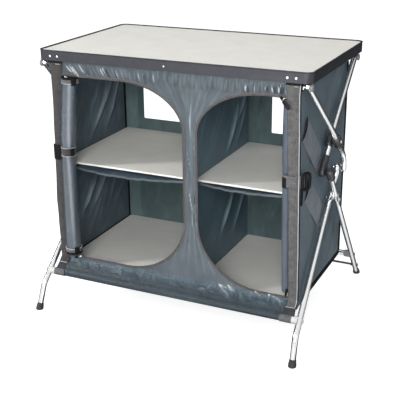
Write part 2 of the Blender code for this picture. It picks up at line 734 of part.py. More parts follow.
def make_foot(name, body, side, path):
    """A rubber boot on a leg's end, flat where it stands."""
    end = mirrored(path, side)
    way = (end[-1] - end[-2]).normalized()
    floor = end[-1] + way * (end[-1].z / -way.z)
    side_way = (X - X.dot(way) * way).normalized()
    up = way.cross(side_way)
    shares = ((-1, 0.86), (-0.60, 0.94), (-0.42, 1.0), (0, 1.0))
    widths = [(FOOT_LENGTH * along, FOOT_RADIUS * across) for along, across in shares]
    widths.append((FOOT_RADIUS * 0.9, FOOT_RADIUS * 0.50))
    rings = [section(floor + way * s, side_way, up, r, r, TUBE_SIDES) for s, r in widths]
    foot = new_object(name + "_" + side_name(side), loft(rings), "rubber", body)
    cut_tube(foot, path, side)
    size = 3 * FOOT_RADIUS
    corners = ((-size, -size), (size, -size), (size, size), (-size, size))
    below = [floor + Vector((x, y, 0)) for x, y in corners]
    cut(foot, new_object(foot.name + "_floor", extruded(below, Z, -size, 0)))


# Cloth


def cloth(name, columns, rows, place, body, kind="cloth"):
    """A closed sheet: place(column, row) gives a point on its middle surface and the way it faces."""
    mesh = bmesh.new()
    layers = []
    for face in (1, -1):
        layer = []
        for j in range(rows + 1):
            row = []
            for i in range(columns + 1):
                point, way = place(i / columns, j / rows)
                row.append(mesh.verts.new(point + way * face * CLOTH_THICKNESS / 2))
            layer.append(row)
        layers.append(layer)
    for layer in layers:
        for j in range(rows):
            for i in range(columns):
                mesh.faces.new((layer[j][i], layer[j][i + 1], layer[j + 1][i + 1], layer[j + 1][i]))
    outer, inner = (edge_loop(layer) for layer in layers)
    for i in range(len(outer)):
        j = (i + 1) % len(outer)
        mesh.faces.new((outer[i], outer[j], inner[j], inner[i]))
    bmesh.ops.recalc_face_normals(mesh, faces=mesh.faces)
    return new_object(name, mesh, kind, body)


def edge_loop(grid):
    """The vertices round a grid, in order."""
    right = [row[-1] for row in grid[1:]]
    left = [row[0] for row in grid[-2:0:-1]]
    return grid[0] + right + grid[-1][-2::-1] + left


def slack(z):
    """How freely a wall hangs at this height: most between the shelves, not at all at them."""
    spans = (
        (BOTTOM_SHELF_UNDERSIDE + SHELF_THICKNESS, MID_SHELF_UNDERSIDE),
        (MID_SHELF_HEIGHT, BACK_TOP),
    )
    for low, high in spans:
        if low < z < high:
            return sin(pi * (z - low) / (high - low))
    return 0.0


def folds(along, z):
    """Slanting folds of a hanging wall, from 0 to 1: a wide wave and a narrow one that cross."""
    wide = sin(tau * (along + z / 4) / FOLD_PITCH)
    narrow = sin(tau * (along - z / 3) / (FOLD_PITCH * 0.6))
    return (1 + wide * 0.6 + narrow * 0.4) / 2 * slack(z)


def make_side_wall(body, side):
    start = FRONT_CLOTH + CLOTH_THICKNESS
    length = BACK_CLOTH - CLOTH_THICKNESS - start

    def place(u, v):
        y = start + length * u
        z = FLOOR_HEIGHT + (CLOTH_TOP - FLOOR_HEIGHT) * v
        ends = sin(pi * u) ** 0.5
        x = CUPBOARD_HALF_WIDTH - FOLD_DEPTH * folds(y, z) * ends
        return Vector((side * x, y, z)), X * side

    wall = cloth("side_wall_" + side_name(side), 13, 12, place, body)
    centre = in_plane(side * CUPBOARD_HALF_WIDTH, FRONT_TOP)
    bore(wall, centre, X, TUBE_RADIUS + CLOTH_GAP, 2 * FOLD_DEPTH)


def make_divider(body):
    start = FRONT_CLOTH + CLOTH_THICKNESS
    length = BACK_CLOTH - CLOTH_THICKNESS - start
    bottom = FLOOR_HEIGHT + CLOTH_THICKNESS

    def place(u, v):
        y = start + length * u
        z = bottom + (CLOTH_TOP - bottom) * v
        x = DIVIDER_OFFSET + FOLD_DEPTH * (folds(y, z) - slack(z) / 2) * sin(pi * u) ** 0.5
        return Vector((x, y, z)), X

    divider = cloth("divider", 8, 10, place, body)
    bore(divider, in_plane(DIVIDER_OFFSET, FRONT_TOP), X, TUBE_RADIUS + CLOTH_GAP, 2 * FOLD_DEPTH)


def facing(path, i):
    """The way a cloth path in the side view faces at its point i."""
    way = (path[min(i + 1, len(path) - 1)] - path[max(i - 1, 0)]).normalized()
    return in_plane(0, (-way.y, way.x))


def rail_place():
    return on_line(LOWER_PIVOT, LEG_BEND, FRONT_RAIL_HEIGHT)


def front_cloth_path():
    """The front panel in the side view: down the front, out to the front rail and round it."""
    rows = 7
    upper = [Vector((FRONT_CLOTH, CLOTH_TOP - (CLOTH_TOP - HEM_HEIGHT) * i / rows)) for i in range(rows)]
    band = [Vector((FRONT_CLOTH, CLOTH_TOP - BAND_WIDTH * share)) for share in (0.35, 0.9)]
    rail = rail_place()
    start, end, steps = radians(110), radians(330), 6
    step = (end - start) / steps
    radius = (TUBE_RADIUS + CLOTH_GAP + CLOTH_THICKNESS / 2) / cos(step / 2)
    angles = [start + step * i for i in range(steps + 1)]
    wrap = [rail + radius * Vector((cos(angle), sin(angle))) for angle in angles]
    return sorted(upper + band, key=lambda p: -p.y) + [Vector((FRONT_CLOTH, HEM_HEIGHT))] + wrap


def gather(x, z):
    """Small upright gathers of the band under the table's edge."""
    share = max(0.0, 1 - (CLOTH_TOP - z) / BAND_WIDTH)
    wave = (1 + cos(GATHERS * pi * x / CUPBOARD_HALF_WIDTH)) / 2
    return GATHER_DEPTH * sin(pi * share) * wave


def quarter(centre_x, centre_z, reach_x, reach_z, start, steps=7):
    """A quarter of an ellipse from the angle start, in the front view."""
    angles = [start + pi / 2 * i / steps for i in range(steps + 1)]
    return [(centre_x + reach_x * cos(a), centre_z + reach_z * sin(a)) for a in angles]


def arch_outline(straight_x, curved_x):
    """A door opening: upright at the cupboard's corner, with two wide round corners at the divider."""
    way = copysign(1, curved_x - straight_x)
    reach = min(ARCH_WIDTH_RADIUS, abs(curved_x - straight_x) * 0.9)
    centre = curved_x - way * reach
    lower = quarter(0, HEM_HEIGHT + ARCH_BOTTOM_RADIUS, reach, ARCH_BOTTOM_RADIUS, -pi / 2)
    upper = quarter(0, OPENING_TOP - ARCH_TOP_RADIUS, reach, ARCH_TOP_RADIUS, 0)
    outline = [(straight_x, OPENING_TOP), (straight_x, HEM_HEIGHT)]
    return outline + [(centre + way * x, z) for x, z in lower + upper]


def front_prism(name, outline, centre_y, half_depth):
    points = [Vector((x, centre_y, z)) for x, z in outline]
    return new_object(name, extruded(points, Y, -half_depth, half_depth))


def make_front_panel(body):
    """The front: a gathered band, the strip between two door openings, and the hem round the front rail."""
    path = front_cloth_path()
    half = CUPBOARD_HALF_WIDTH - CLOTH_THICKNESS

    def place(u, v):
        i = round(v * (len(path) - 1))
        x = -half + 2 * half * u
        inward = facing(path, i)
        return in_plane(x, path[i]) - inward * gather(x, path[i].y), inward

    panel = cloth("front_panel", 4 * GATHERS, len(path) - 1, place, body)
    corner = CUPBOARD_HALF_WIDTH - STRIP_WIDTH
    left = arch_outline(-corner, DIVIDER_OFFSET - DIVIDER_STRIP_LEFT)
    right = arch_outline(corner, DIVIDER_OFFSET + DIVIDER_STRIP_RIGHT)
    for label, outline in (("left", left), ("right", right)):
        cut(panel, front_prism("door_opening_" + label, outline, FRONT_CLOTH, TUBE_RADIUS * 0.9))


def make_back_panel(body):
    """The back with its two windows, and the floor cloth in one piece with it."""
    half = CUPBOARD_HALF_WIDTH - CLOTH_THICKNESS
    rows = 9
    corner = Vector((BACK_CLOTH, FLOOR_HEIGHT))
    down = [Vector((BACK_CLOTH, BACK_TOP - (BACK_TOP - FLOOR_HEIGHT) * i / rows)) for i in range(rows)]
    front = FRONT_CLOTH + CLOTH_THICKNESS
    floor = [corner + Vector((-share * (BACK_CLOTH - front), 0)) for share in (0.5, 1)]
    path = down + [corner] + floor

    def place(u, v):
        i = round(v * (len(path) - 1))
        x = -half + 2 * half * u
        out = facing(path, i)
        depth = FOLD_DEPTH * 0.6 * folds(x, path[i].y) * abs(sin(tau * u)) ** 0.5
        return in_plane(x, path[i]) + out * depth, out

    panel = cloth("back_panel", 20, len(path) - 1, place, body)
    for side in (-1, 1):
        outline = window_outline(side * WINDOW_OFFSET)
        cut(panel, front_prism("window_" + side_name(side), outline, BACK_CLOTH, 4 * FOLD_DEPTH))


def window_outline(centre_x):
    radius = WINDOW_RADIUS
    half = WINDOW_WIDTH / 2 - radius
    high = BACK_TOP - WINDOW_DROP - radius
    low = BACK_TOP - WINDOW_DROP - WINDOW_HEIGHT + radius
    corners = ((half, high, 0), (-half, high, 1), (-half, low, 2), (half, low, 3))
    points = []
    for x, z, turn in corners:
        points += quarter(centre_x + x, z, radius, radius, turn * pi / 2, 2)
    return points


def make_pocket(name, body, centre):
    """A slanting pocket on the right wall, proud at its mouth, which is the upper of its two short ends."""
    base = CUPBOARD_HALF_WIDTH + CLOTH_THICKNESS / 2 + SEAT_GAP
    down = Vector((cos(POCKET_SLANT), -sin(POCKET_SLANT)))
    across = Vector((sin(POCKET_SLANT) * 0.7, cos(POCKET_SLANT)))
    rings = []
    for share, proud in ((-0.5, 1.0), (-0.2, 0.8), (0.2, 0.5), (0.5, 0.4)):
        middle = Vector(centre) + down * POCKET_LENGTH * share
        low = in_plane(0, middle - across * POCKET_WIDTH / 2)
        high = in_plane(0, middle + across * POCKET_WIDTH / 2)
        inner, outer = X * base, X * (base + POCKET_THICKNESS * proud)
        crown = [high.lerp(low, 0.1) + outer, low.lerp(high, 0.1) + outer]
        rings.append([low + inner, high + inner] + crown)
    return new_object(name, loft(rings), "cloth", body)


def roll_outline(radius):
    """Offsets from a rolled door's centre, seen from above, with its outer edge lapping over."""
    points = []
    for k in range(SLEEVE_SIDES):
        angle = pi / 2 + tau * k / SLEEVE_SIDES
        size = radius * (1 - ROLL_LAP * k / SLEEVE_SIDES)
        points.append(Vector((size * cos(angle), size * sin(angle), 0)))
    return points


def make_roll(name, body, outline, centre_x, centre_y):
    """A door rolled up beside its opening, drawn in at its middle by its strap."""
    rings = []
    for i in range(ROLL_STATIONS + 1):
        share = i / ROLL_STATIONS
        z = OPENING_TOP - ROLL_END_GAP - share * (OPENING_TOP - HEM_HEIGHT - 2 * ROLL_END_GAP)
        waist = 1 - ROLL_WAIST * (1 - abs(2 * share - 1))
        rings.append([Vector((centre_x, centre_y, z)) + point * waist for point in outline])
    new_object(name, loft(rings), "cloth", body)


def front_beyond(outline, x):
    """How far to the front an outline reaches at x and beyond it."""
    reached = [point.y for point in outline if point.x >= x]
    for start, end in zip(outline, outline[1:] + outline[:1]):
        if (start.x - x) * (end.x - x) < 0:
            reached.append(start.lerp(end, (x - start.x) / (end.x - start.x)).y)
    return min(reached)


def make_door_rolls(body):
    """The left roll stands beside its strip, the narrower right one rests against the back of its strip."""
    inner = CUPBOARD_HALF_WIDTH - STRIP_WIDTH
    left = roll_outline(ROLL_LEFT_RADIUS)
    left_x = SEAT_GAP - inner - min(point.x for point in left)
    make_roll("door_roll_left", body, left, left_x, FRONT_CLOTH)
    right = roll_outline(ROLL_RIGHT_RADIUS)
    hidden = ROLL_RIGHT_RADIUS / 2
    right_y = FRONT_CLOTH + CLOTH_THICKNESS / 2 + SEAT_GAP - front_beyond(right, hidden)
    make_roll("door_roll_right", body, right, inner - hidden, right_y)


# Shelves


def shelf(name, body, start_x, end_x, front, back, underside):
    """A board with rounded corners and softened long edges."""
    centre = Vector(((start_x + end_x) / 2, (front + back) / 2))
    half = Vector(((end_x - start_x) / 2 - SHELF_CORNER, (back - front) / 2 - SHELF_CORNER))
    rings = []
    rise = SHELF_THICKNESS - EDGE_BREAK
    levels = ((EDGE_BREAK, 0), (0, EDGE_BREAK), (0, rise), (EDGE_BREAK, SHELF_THICKNESS))
    for inset, rise in levels:
        ring = []
        for quarter_turn, (sx, sy) in enumerate(((1, 1), (-1, 1), (-1, -1), (1, -1))):
            for i in range(4):
                angle = (quarter_turn + i / 3) * pi / 2
                reach = SHELF_CORNER - inset
                ring.append(Vector((centre.x + sx * half.x + reach * cos(angle),
                                    centre.y + sy * half.y + reach * sin(angle), underside + rise)))
        rings.append(ring)
    new_object(name, loft(rings), "board", body)


def make_shelves(mid_body, bottom_body):
    outside = CUPBOARD_HALF_WIDTH - SHELF_SIDE_GAP
    left_inner = DIVIDER_OFFSET - CLOTH_THICKNESS / 2 - SEAT_GAP
    right_inner = DIVIDER_OFFSET + CLOTH_THICKNESS / 2 + SEAT_GAP
    back = BACK_CLOTH - CLOTH_THICKNESS / 2 - CLOTH_GAP
    levels = (
        ("mid", mid_body, MID_SHELF_SETBACK, MID_SHELF_UNDERSIDE),
        ("bottom", bottom_body, BOTTOM_SHELF_SETBACK, BOTTOM_SHELF_UNDERSIDE),
    )
    for label, body, setback, underside in levels:
        front = FRONT_CLOTH + setback
        shelf(label + "_shelf_left", body, -outside, left_inner, front, back, underside)
        shelf(label + "_shelf_right", body, right_inner, outside, front, back, underside)


# Assembly


def pivot_empty(name, place):
    """A body's origin, on its joint's axis."""
    empty = bpy.data.objects.new(name, None)
    empty.location = place
    bpy.context.scene.collection.objects.link(empty)
    return empty


def main():
    clear_scene()
    table = pivot_empty("table", Vector((0, TOP_SETBACK, TOP_HEIGHT)))
    upper_front = pivot_empty("upper_front", in_plane(0, FRONT_TOP))
    upper_rear = pivot_empty("upper_rear", in_plane(0, UPPER_PIVOT))
    rear_legs = pivot_empty("rear_legs", in_plane(0, FRONT_KNEE))
    front_legs = pivot_empty("front_legs", in_plane(0, REAR_KNEE))
    mid_shelves = pivot_empty("mid_shelves", Vector((0, 0, MID_SHELF_HEIGHT)))
    bottom_shelves = pivot_empty("bottom_shelves", Vector((0, 0, FLOOR_HEIGHT)))

    make_edge_frame(table)
    make_edge_rivets(table)
    make_board(table)
    make_cross_tube("front_top_tube", upper_front, FRONT_TOP)
    make_cross_tube("rear_top_tube", upper_rear, REAR_TOP)

    front_rail = rail_place()
    rear_rail = on_line(LOWER_PIVOT, REAR_FOOT, REAR_RAIL_HEIGHT)
    rod = on_line(LOWER_PIVOT, REAR_FOOT, ROD_HEIGHT)
    make_rail("front_rail", front_legs, front_rail, INNER_X)
    make_rail("rear_rail", rear_legs, rear_rail, OUTER_X)
    make_rear_rod(rear_legs, rod)

    for side in (-1, 1):
        make_front_clip(table, side)
        make_rear_hook(table, side)
        bar = make_bar("upper_front_bar", upper_front_path(), upper_front, side, (True, True),
                       [(FRONT_TOP, INNER_X), (UPPER_PIVOT, OUTER_X)])
        make_rear_knee_pin(bar, side)
        make_bar("upper_rear_bar", upper_rear_path(), upper_rear, side, (True, False),
                 [(REAR_TOP, INNER_X), (UPPER_PIVOT, INNER_X)])
        make_bar("rear_leg", rear_leg_path(), rear_legs, side, (False, False),
                 [(LOWER_PIVOT, OUTER_X), (rear_rail, leg_x(OUTER_X, rear_rail.y)), (rod, leg_x(OUTER_X, rod.y))])
        make_bar("front_leg", front_leg_path(), front_legs, side, (True, False),
                 [(REAR_KNEE, INNER_X), (LOWER_PIVOT, INNER_X), (front_rail, leg_x(INNER_X, front_rail.y))])
        make_upper_joint(upper_front, upper_rear, side)
        make_knee(upper_rear, rear_legs, side)
        make_lower_joint(front_legs, rear_legs, side)
        make_socket("front_socket", front_legs, side, front_rail, INNER_X, front_leg_path())
        make_socket("rear_socket", rear_legs, side, rear_rail, OUTER_X, rear_leg_path())
        make_foot("front_foot", front_legs, side, front_leg_path())
        make_foot("rear_foot", rear_legs, side, rear_leg_path())
        make_side_wall(table, side)

    make_divider(table)
    make_front_panel(table)
    make_back_panel(table)
    make_pocket("side_pocket_upper", table, UPPER_POCKET)
    make_pocket("side_pocket_lower", table, LOWER_POCKET)
    make_door_rolls(table)
    make_shelves(mid_shelves, bottom_shelves)


main()
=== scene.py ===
"""Looks of the folding kitchen cupboard: cloth, bindings and straps, finishes, light and camera.

Metres, +Z up, the front towards -Y. The frame holds the rigid pieces, which keep their own shapes.
"""

import json
import random
from math import acos, atan2, cos, hypot, pi, radians, sin, tau

import bpy
import numpy as np
from mathutils import Matrix, Vector, kdtree
from mathutils.geometry import delaunay_2d_cdt

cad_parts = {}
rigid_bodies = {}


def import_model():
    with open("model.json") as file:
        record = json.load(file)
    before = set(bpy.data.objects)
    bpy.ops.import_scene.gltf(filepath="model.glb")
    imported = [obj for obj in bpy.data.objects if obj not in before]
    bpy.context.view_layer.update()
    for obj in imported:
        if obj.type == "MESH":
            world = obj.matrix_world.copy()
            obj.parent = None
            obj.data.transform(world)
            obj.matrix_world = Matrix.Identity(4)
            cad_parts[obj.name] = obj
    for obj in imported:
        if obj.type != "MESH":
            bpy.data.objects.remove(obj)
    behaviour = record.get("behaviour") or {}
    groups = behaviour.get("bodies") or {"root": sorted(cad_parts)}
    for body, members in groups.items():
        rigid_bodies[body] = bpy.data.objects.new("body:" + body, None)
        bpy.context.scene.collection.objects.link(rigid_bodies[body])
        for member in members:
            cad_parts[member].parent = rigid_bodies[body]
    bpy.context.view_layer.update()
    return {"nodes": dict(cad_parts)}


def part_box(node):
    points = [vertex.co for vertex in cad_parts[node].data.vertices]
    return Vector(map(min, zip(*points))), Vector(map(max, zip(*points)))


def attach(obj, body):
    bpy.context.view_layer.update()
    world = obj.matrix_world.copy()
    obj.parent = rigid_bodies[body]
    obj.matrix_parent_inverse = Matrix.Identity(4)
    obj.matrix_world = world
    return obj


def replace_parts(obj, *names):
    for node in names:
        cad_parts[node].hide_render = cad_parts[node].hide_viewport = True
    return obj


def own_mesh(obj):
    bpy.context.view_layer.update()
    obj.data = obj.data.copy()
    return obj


# The photograph's frame, in pixels, and its camera
FRAME_SIZE = 400
CENTRE_U = 208.6
FOCAL_PIXELS = 857.0
SENSOR = 36.0
CAMERA_PLACE = (1.07, -2.285, 1.27)
CAMERA_YAW = radians(-24.75)
CAMERA_PITCH = radians(20.75)
CAMERA_ROLL = radians(-0.40)

# Light
WORLD_FILL = 0.50
WORLD_MIRRORED = 1.0
MIRROR_FRONT = (0.34, -0.94, 0.0)
CARD_FRONT = (0.20, -0.980, 0.0)
CARD_LEVEL = 4.8
FLOOR_FRONT = (0.42, -0.91, 0.0)
FLOOR_GREY = (0.55, 0.55, 0.55, 1)
FLOOR_GLOW = 0.80
FRONT_FEET = ((-0.43, -0.33, 0.0), (0.43, -0.33, 0.0))
# Each light's name, place, target, size and power
LIGHTS = (
    ("key", (0.9, -3.3, 1.95), (0, 0, 0.4), (1.6, 1.6), 88),
    ("side", (-2.9, -1.9, 2.2), (0, 0, 0.45), (0.45, 0.9), 78),
    ("top", (0.0, 0.2, 3.4), (0, 0, 0.8), (1.6, 1.2), 24),
)

# Cloth
THICKNESS = 0.0012
TUBE_RADIUS = 0.00875
CLOTH_CLEARANCE = 0.0011
BAND_HEIGHT = 0.040
OPENING_BOTTOM = 0.160
KNEE_HEIGHT = 0.150
CORNER_STRIP = 0.0225
HEM_INSET = 0.026
DIVIDER_X = 0.068
CENTRE_LEFT = 0.047
CENTRE_RIGHT = 0.090
ARCH_TOP_RADIUS = 0.130
ARCH_BOTTOM_RADIUS = 0.175
ARCH_WIDTH_RADIUS = 0.195
WINDOW_WIDTH = 0.177
WINDOW_HEIGHT = 0.1715
WINDOW_OFFSET = 0.2315
WINDOW_DROP = 0.0788
WINDOW_RADIUS = 0.003
WINDOW_SHIFT = 0.0045
POCKET_LENGTH = 0.190
POCKET_WIDTH = 0.078
POCKET_SLANT = radians(43)
SIDES = ((-1, "left"), (1, "right"))
TAB_FOOT = {"left": 0.6655, "right": 0.6534, "divider": 0.6534}

# Bindings and straps
WEBBING = 0.0016
TAPE_WIDTH = 0.0065
TAPE_THICKNESS = 0.0016
COIL_RADIUS = 0.0013
TOOTH_PITCH = 0.0030
BINDING_WIDTH = 0.018
BINDING_THICKNESS = 0.0018
PIPING_RADIUS = 0.0016
ROLL_RADIUS = {"left": 0.0236, "right": 0.0136}
LEFT_STRAP_HEIGHT = 0.504
BUCKLE_X = 0.3965
OUTWARD = np.array([0.0, -1.0, 0.0])
ROLL_LEANS = {
    "left": ((0.17, 0.50, 0.72), (0.002, 0.0060, 0.0270)),
    "right": ((0.17, 0.50, 0.72), (0.0020, -0.0040, -0.0050)),
}


def clear_scene():
    for obj in list(bpy.data.objects):
        bpy.data.objects.remove(obj, do_unlink=True)


clear_scene()
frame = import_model()

WALL_LOW, WALL_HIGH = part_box("side_wall_right")
HALF = WALL_HIGH.x - THICKNESS / 2
CLOTH_TOP = WALL_HIGH.z
FLOOR_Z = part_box("back_panel")[0].z + THICKNESS / 2
WALL_FOOT = FLOOR_Z - 0.002
FRONT_Y = WALL_LOW.y - THICKNESS
BACK_Y = WALL_HIGH.y + THICKNESS
BACK_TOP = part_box("back_panel")[1].z
OPENING_TOP = CLOTH_TOP - BAND_HEIGHT
SHELF_LOW, SHELF_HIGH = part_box("mid_shelf_left")
FLOOR_BOARD_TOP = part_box("bottom_shelf_left")[1].z


def centre_of(node):
    low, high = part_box(node)
    return (low + high) / 2


RAIL = centre_of("front_rail")
FRONT_TUBE = centre_of("front_top_tube")


# Meshes


def new_piece(name, points, faces, corner_uvs=None, sharp=50):
    """An object from points and faces, smooth but for its sharp edges, with a UV for each face corner."""
    mesh = bpy.data.meshes.new(name)
    mesh.from_pydata([tuple(map(float, p)) for p in points], [], [tuple(map(int, f)) for f in faces])
    if corner_uvs is not None:
        layer = mesh.uv_layers.new(name="UVMap")
        layer.data.foreach_set("uv", np.asarray(corner_uvs, float).ravel())
    mesh.shade_smooth()
    mesh.set_sharp_from_angle(angle=radians(sharp))
    obj = bpy.data.objects.new(name, mesh)
    bpy.context.scene.collection.objects.link(obj)
    return obj


def unit(vectors):
    vectors = np.asarray(vectors, float)
    return vectors / np.maximum(np.linalg.norm(vectors, axis=-1, keepdims=True), 1e-12)


def vertex_normals(points, faces):
    """Area-weighted normals of a surface of triangles."""
    a, b, c = (points[faces[:, k]] for k in range(3))
    face_normals = np.cross(b - a, c - a)
    normals = np.zeros_like(points)
    for k in range(3):
        np.add.at(normals, faces[:, k], face_normals)
    return unit(normals)


def rim_edges(triangles):
    """The edges that only one triangle has, in the way that it turns."""
    directed = np.concatenate([triangles[:, [0, 1]], triangles[:, [1, 2]], triangles[:, [2, 0]]])
    known = {(int(a), int(b)) for a, b in directed}
    return sorted((a, b) for a, b in known if (b, a) not in known)


def thick_sheet(name, points, triangles, flat, thickness=THICKNESS, relief=None):
    """A closed sheet round a middle surface. Its second material is for the side away from the normals.

    Relief says how far each point stands out from the cloth round it, from -1 to 1, for the painted shade
    and highlights that follow it.
    """
    points = np.asarray(points, float)
    triangles = np.asarray(triangles, int)
    normals = vertex_normals(points, triangles)
    count = len(points)
    both = np.concatenate([points + normals * thickness / 2, points - normals * thickness / 2])
    walls = [(b, a, a + count, b + count) for a, b in rim_edges(triangles)]
    faces = [tuple(t) for t in triangles] + [tuple(t[::-1] + count) for t in triangles] + walls
    uvs = np.concatenate([flat, flat])
    obj = new_piece(name, both, faces, [uvs[i] for face in faces for i in face])
    sides = np.zeros(len(faces), int)
    sides[len(triangles):2 * len(triangles)] = 1
    obj.data.polygons.foreach_set("material_index", sides)
    if relief is not None:
        relief = np.clip(relief, -1, 1)
        layer = obj.data.attributes.new("relief", "FLOAT", "POINT")
        layer.data.foreach_set("value", np.concatenate([relief, -relief]).astype(np.float32))
    return obj


def dense(outline, step):
    """The closed outline with points no further apart than step."""
    points = []
    for (x0, y0), (x1, y1) in zip(outline, outline[1:] + outline[:1]):
        count = max(1, round(hypot(x1 - x0, y1 - y0) / step))
        points += [(x0 + (x1 - x0) * i / count, y0 + (y1 - y0) * i / count) for i in range(count)]
    return points


def inside(points, outline):
    """Which of the points lie inside the closed outline."""
    x, y = points[:, 0], points[:, 1]
    result = np.zeros(len(points), bool)
    for (x0, y0), (x1, y1) in zip(outline, outline[1:] + outline[:1]):
        if y0 == y1:
            continue
        crosses = (y0 > y) != (y1 > y)
        result ^= crosses & (x < (x1 - x0) * (y - y0) / (y1 - y0) + x0)
    return result


def joined(loops):
    """The points of all the closed loops, and the edges between them."""
    points, edges = [], []
    for loop in loops:
        start = len(points)
        points += loop
        edges += [(start + i, start + (i + 1) % len(loop)) for i in range(len(loop))]
    return points, edges


def on_cloth(points, outer, holes):
    """Which of the points lie inside the cut and in none of its holes."""
    result = inside(points, outer)
    for hole in holes:
        result &= ~inside(points, hole)
    return result


def double_areas(flat, triangles):
    """Twice each triangle's area, below zero where it turns clockwise."""
    a, b, c = (flat[triangles[:, k]] for k in range(3))
    return (b - a)[:, 0] * (c - a)[:, 1] - (b - a)[:, 1] * (c - a)[:, 0]


def cut_pattern(outer, holes, step_u, step_v, fine_down_to=0.0):
    """A flat cut as points and triangles, less its holes, with twice the columns down to fine_down_to."""
    edge_step = max(step_u, 0.003)
    points, edges = joined([dense(outline, edge_step) for outline in [outer] + holes])
    tree = kdtree.KDTree(len(points))
    for i, (u, v) in enumerate(points):
        tree.insert((u, v, 0), i)
    tree.balance()
    outline = np.array(outer)
    us = np.arange(outline[:, 0].min() + step_u / 2, outline[:, 0].max(), step_u / 2)
    vs = np.arange(outline[:, 1].min() + step_v / 2, outline[:, 1].max(), step_v)
    grid = np.array([(u, v) for v in vs for u in (us if v < fine_down_to else us[::2])])
    near = min(step_u, step_v) * 0.45
    points += [(u, v) for u, v in grid[on_cloth(grid, outer, holes)] if tree.find((u, v, 0))[2] > near]
    made = delaunay_2d_cdt([Vector(p) for p in points], edges, [], 0, 1e-7)
    flat = np.array([tuple(p) for p in made[0]])
    triangles = np.array([tuple(f) for f in made[2]])
    triangles = triangles[on_cloth(flat[triangles].mean(axis=1), outer, holes)]
    backwards = double_areas(flat, triangles) < 0
    triangles[backwards] = triangles[backwards][:, ::-1]
    used = np.unique(triangles)
    order = np.full(len(flat), -1)
    order[used] = np.arange(len(used))
    return flat[used], order[triangles]


def distances(path):
    """How far along the path each of its points lies."""
    steps = np.linalg.norm(np.diff(path, axis=0), axis=1)
    return np.concatenate([[0], np.cumsum(steps)])


def grid_pattern(width, length, step_u, step_v):
    """A plain rectangle of cloth as points and triangles."""
    columns = max(1, round(width / step_u))
    rows = max(1, round(length / step_v))
    us, vs = np.linspace(0, width, columns + 1), np.linspace(0, length, rows + 1)
    flat = np.array([(u, v) for v in vs for u in us])
    first = np.array([j * (columns + 1) + i for j in range(rows) for i in range(columns)])
    row = columns + 1
    lower = np.stack([first, first + 1, first + row + 1], axis=1)
    upper = np.stack([first, first + row + 1, first + row], axis=1)
    return flat, np.concatenate([lower, upper])


def loft(name, rings, loop=False, sharp=50):
    """A skin over closed rings of points, capped at both ends unless it runs round a loop."""
    rings = np.asarray(rings, float)
    count, size = rings.shape[:2]
    middles = rings.mean(axis=1)
    along = distances(np.append(middles, middles[:1], axis=0))
    around = distances(np.append(rings[0], rings[0][:1], axis=0))
    faces, uvs = [], []
    for i in range(count if loop else count - 1):
        n = (i + 1) % count
        for j in range(size):
            k = (j + 1) % size
            faces.append((i * size + j, i * size + k, n * size + k, n * size + j))
            uvs += [(along[a], around[b]) for a, b in ((i, j), (i, j + 1), (i + 1, j + 1), (i + 1, j))]
    if not loop:
        faces.append(tuple(range(size))[::-1])
        faces.append(tuple((count - 1) * size + j for j in range(size)))
        uvs += [(0.0, around[j]) for j in range(size)] * 2
    return new_piece(name, rings.reshape(-1, 3), faces, uvs, sharp)


def tangents(path, loop=False):
    path = np.asarray(path, float)
    if loop:
        return unit(np.roll(path, -1, axis=0) - np.roll(path, 1, axis=0))
    return unit(np.gradient(path, axis=0))


def ribbon(name, path, across, width, thickness, loop=False):
    """A strap along path: across is the way of its width, at each point or the same for all."""
    path = np.asarray(path, float)
    across = unit(np.broadcast_to(np.asarray(across, float), path.shape))
    width = np.broadcast_to(np.asarray(width, float), len(path))
    up = unit(np.cross(tangents(path, loop), across))
    edge = thickness * 0.3
    rings = []
    for point, side, rise, w in zip(path, across, up, width):
        half, lift = w / 2, thickness / 2
        profile = ((half, edge), (half - edge, lift), (edge - half, lift), (-half, edge),
                   (-half, -edge), (edge - half, -lift), (half - edge, -lift), (half, -edge))
        rings.append([point + side * a + rise * b for a, b in profile])
    return loft(name, rings, loop, 60)


def cordlike(name, path, radius, sides=8, loop=False):
    """A round strand along path, with a radius for all points or for each."""
    path = np.asarray(path, float)
    radius = np.broadcast_to(np.asarray(radius, float), len(path))
    ways = tangents(path, loop)
    guide = np.array([0.0, 0.0, 1.0]) if abs(ways[0][2]) < 0.8 else np.array([1.0, 0.0, 0.0])
    turns = [tau * k / sides for k in range(sides)]
    rings = []
    for point, way, size in zip(path, ways, radius):
        side = unit(guide - way * guide.dot(way))
        up = np.cross(way, side)
        guide = side
        rings.append([point + size * (side * cos(a) + up * sin(a)) for a in turns])
    return loft(name, rings, loop, 60)


def resampled(path, step):
    """The path with points evenly spaced along it."""
    path = np.asarray(path, float)
    lengths = distances(path)
    count = max(2, round(lengths[-1] / step) + 1)
    at = np.linspace(0, lengths[-1], count)
    return np.stack([np.interp(at, lengths, path[:, k]) for k in range(path.shape[1])], axis=1)


def creases(u, v, lines):
    """Rounded ridges, each along a line (u0, v0, u1, v1, half width, height) and fading at its ends."""
    total = np.zeros_like(u)
    for u0, v0, u1, v1, half, height in lines:
        du, dv = u1 - u0, v1 - v0
        length = hypot(du, dv)
        share = ((u - u0) * du + (v - v0) * dv) / length**2
        beside = ((u - u0) * dv - (v - v0) * du) / length
        fade = np.clip(1 - (2 * share - 1) ** 2, 0, 1) ** 0.7
        total += height * fade / (1 + (beside / half) ** 2) ** 1.5
    return total


def random_creases(seed, count, low, high, slope, length, half, height):
    """A family of creases in a box, about parallel: slope is the angle from upright, with its spread."""
    rng = random.Random(seed)
    lines = []
    for _ in range(count):
        u, v = rng.uniform(low[0], high[0]), rng.uniform(low[1], high[1])
        angle = radians(rng.gauss(*slope))
        reach = rng.uniform(*length) / 2
        du, dv = reach * sin(angle), reach * cos(angle)
        lines.append((u - du, v - dv, u + du, v + dv, rng.uniform(*half), rng.uniform(*height)))
    return lines


# Finishes


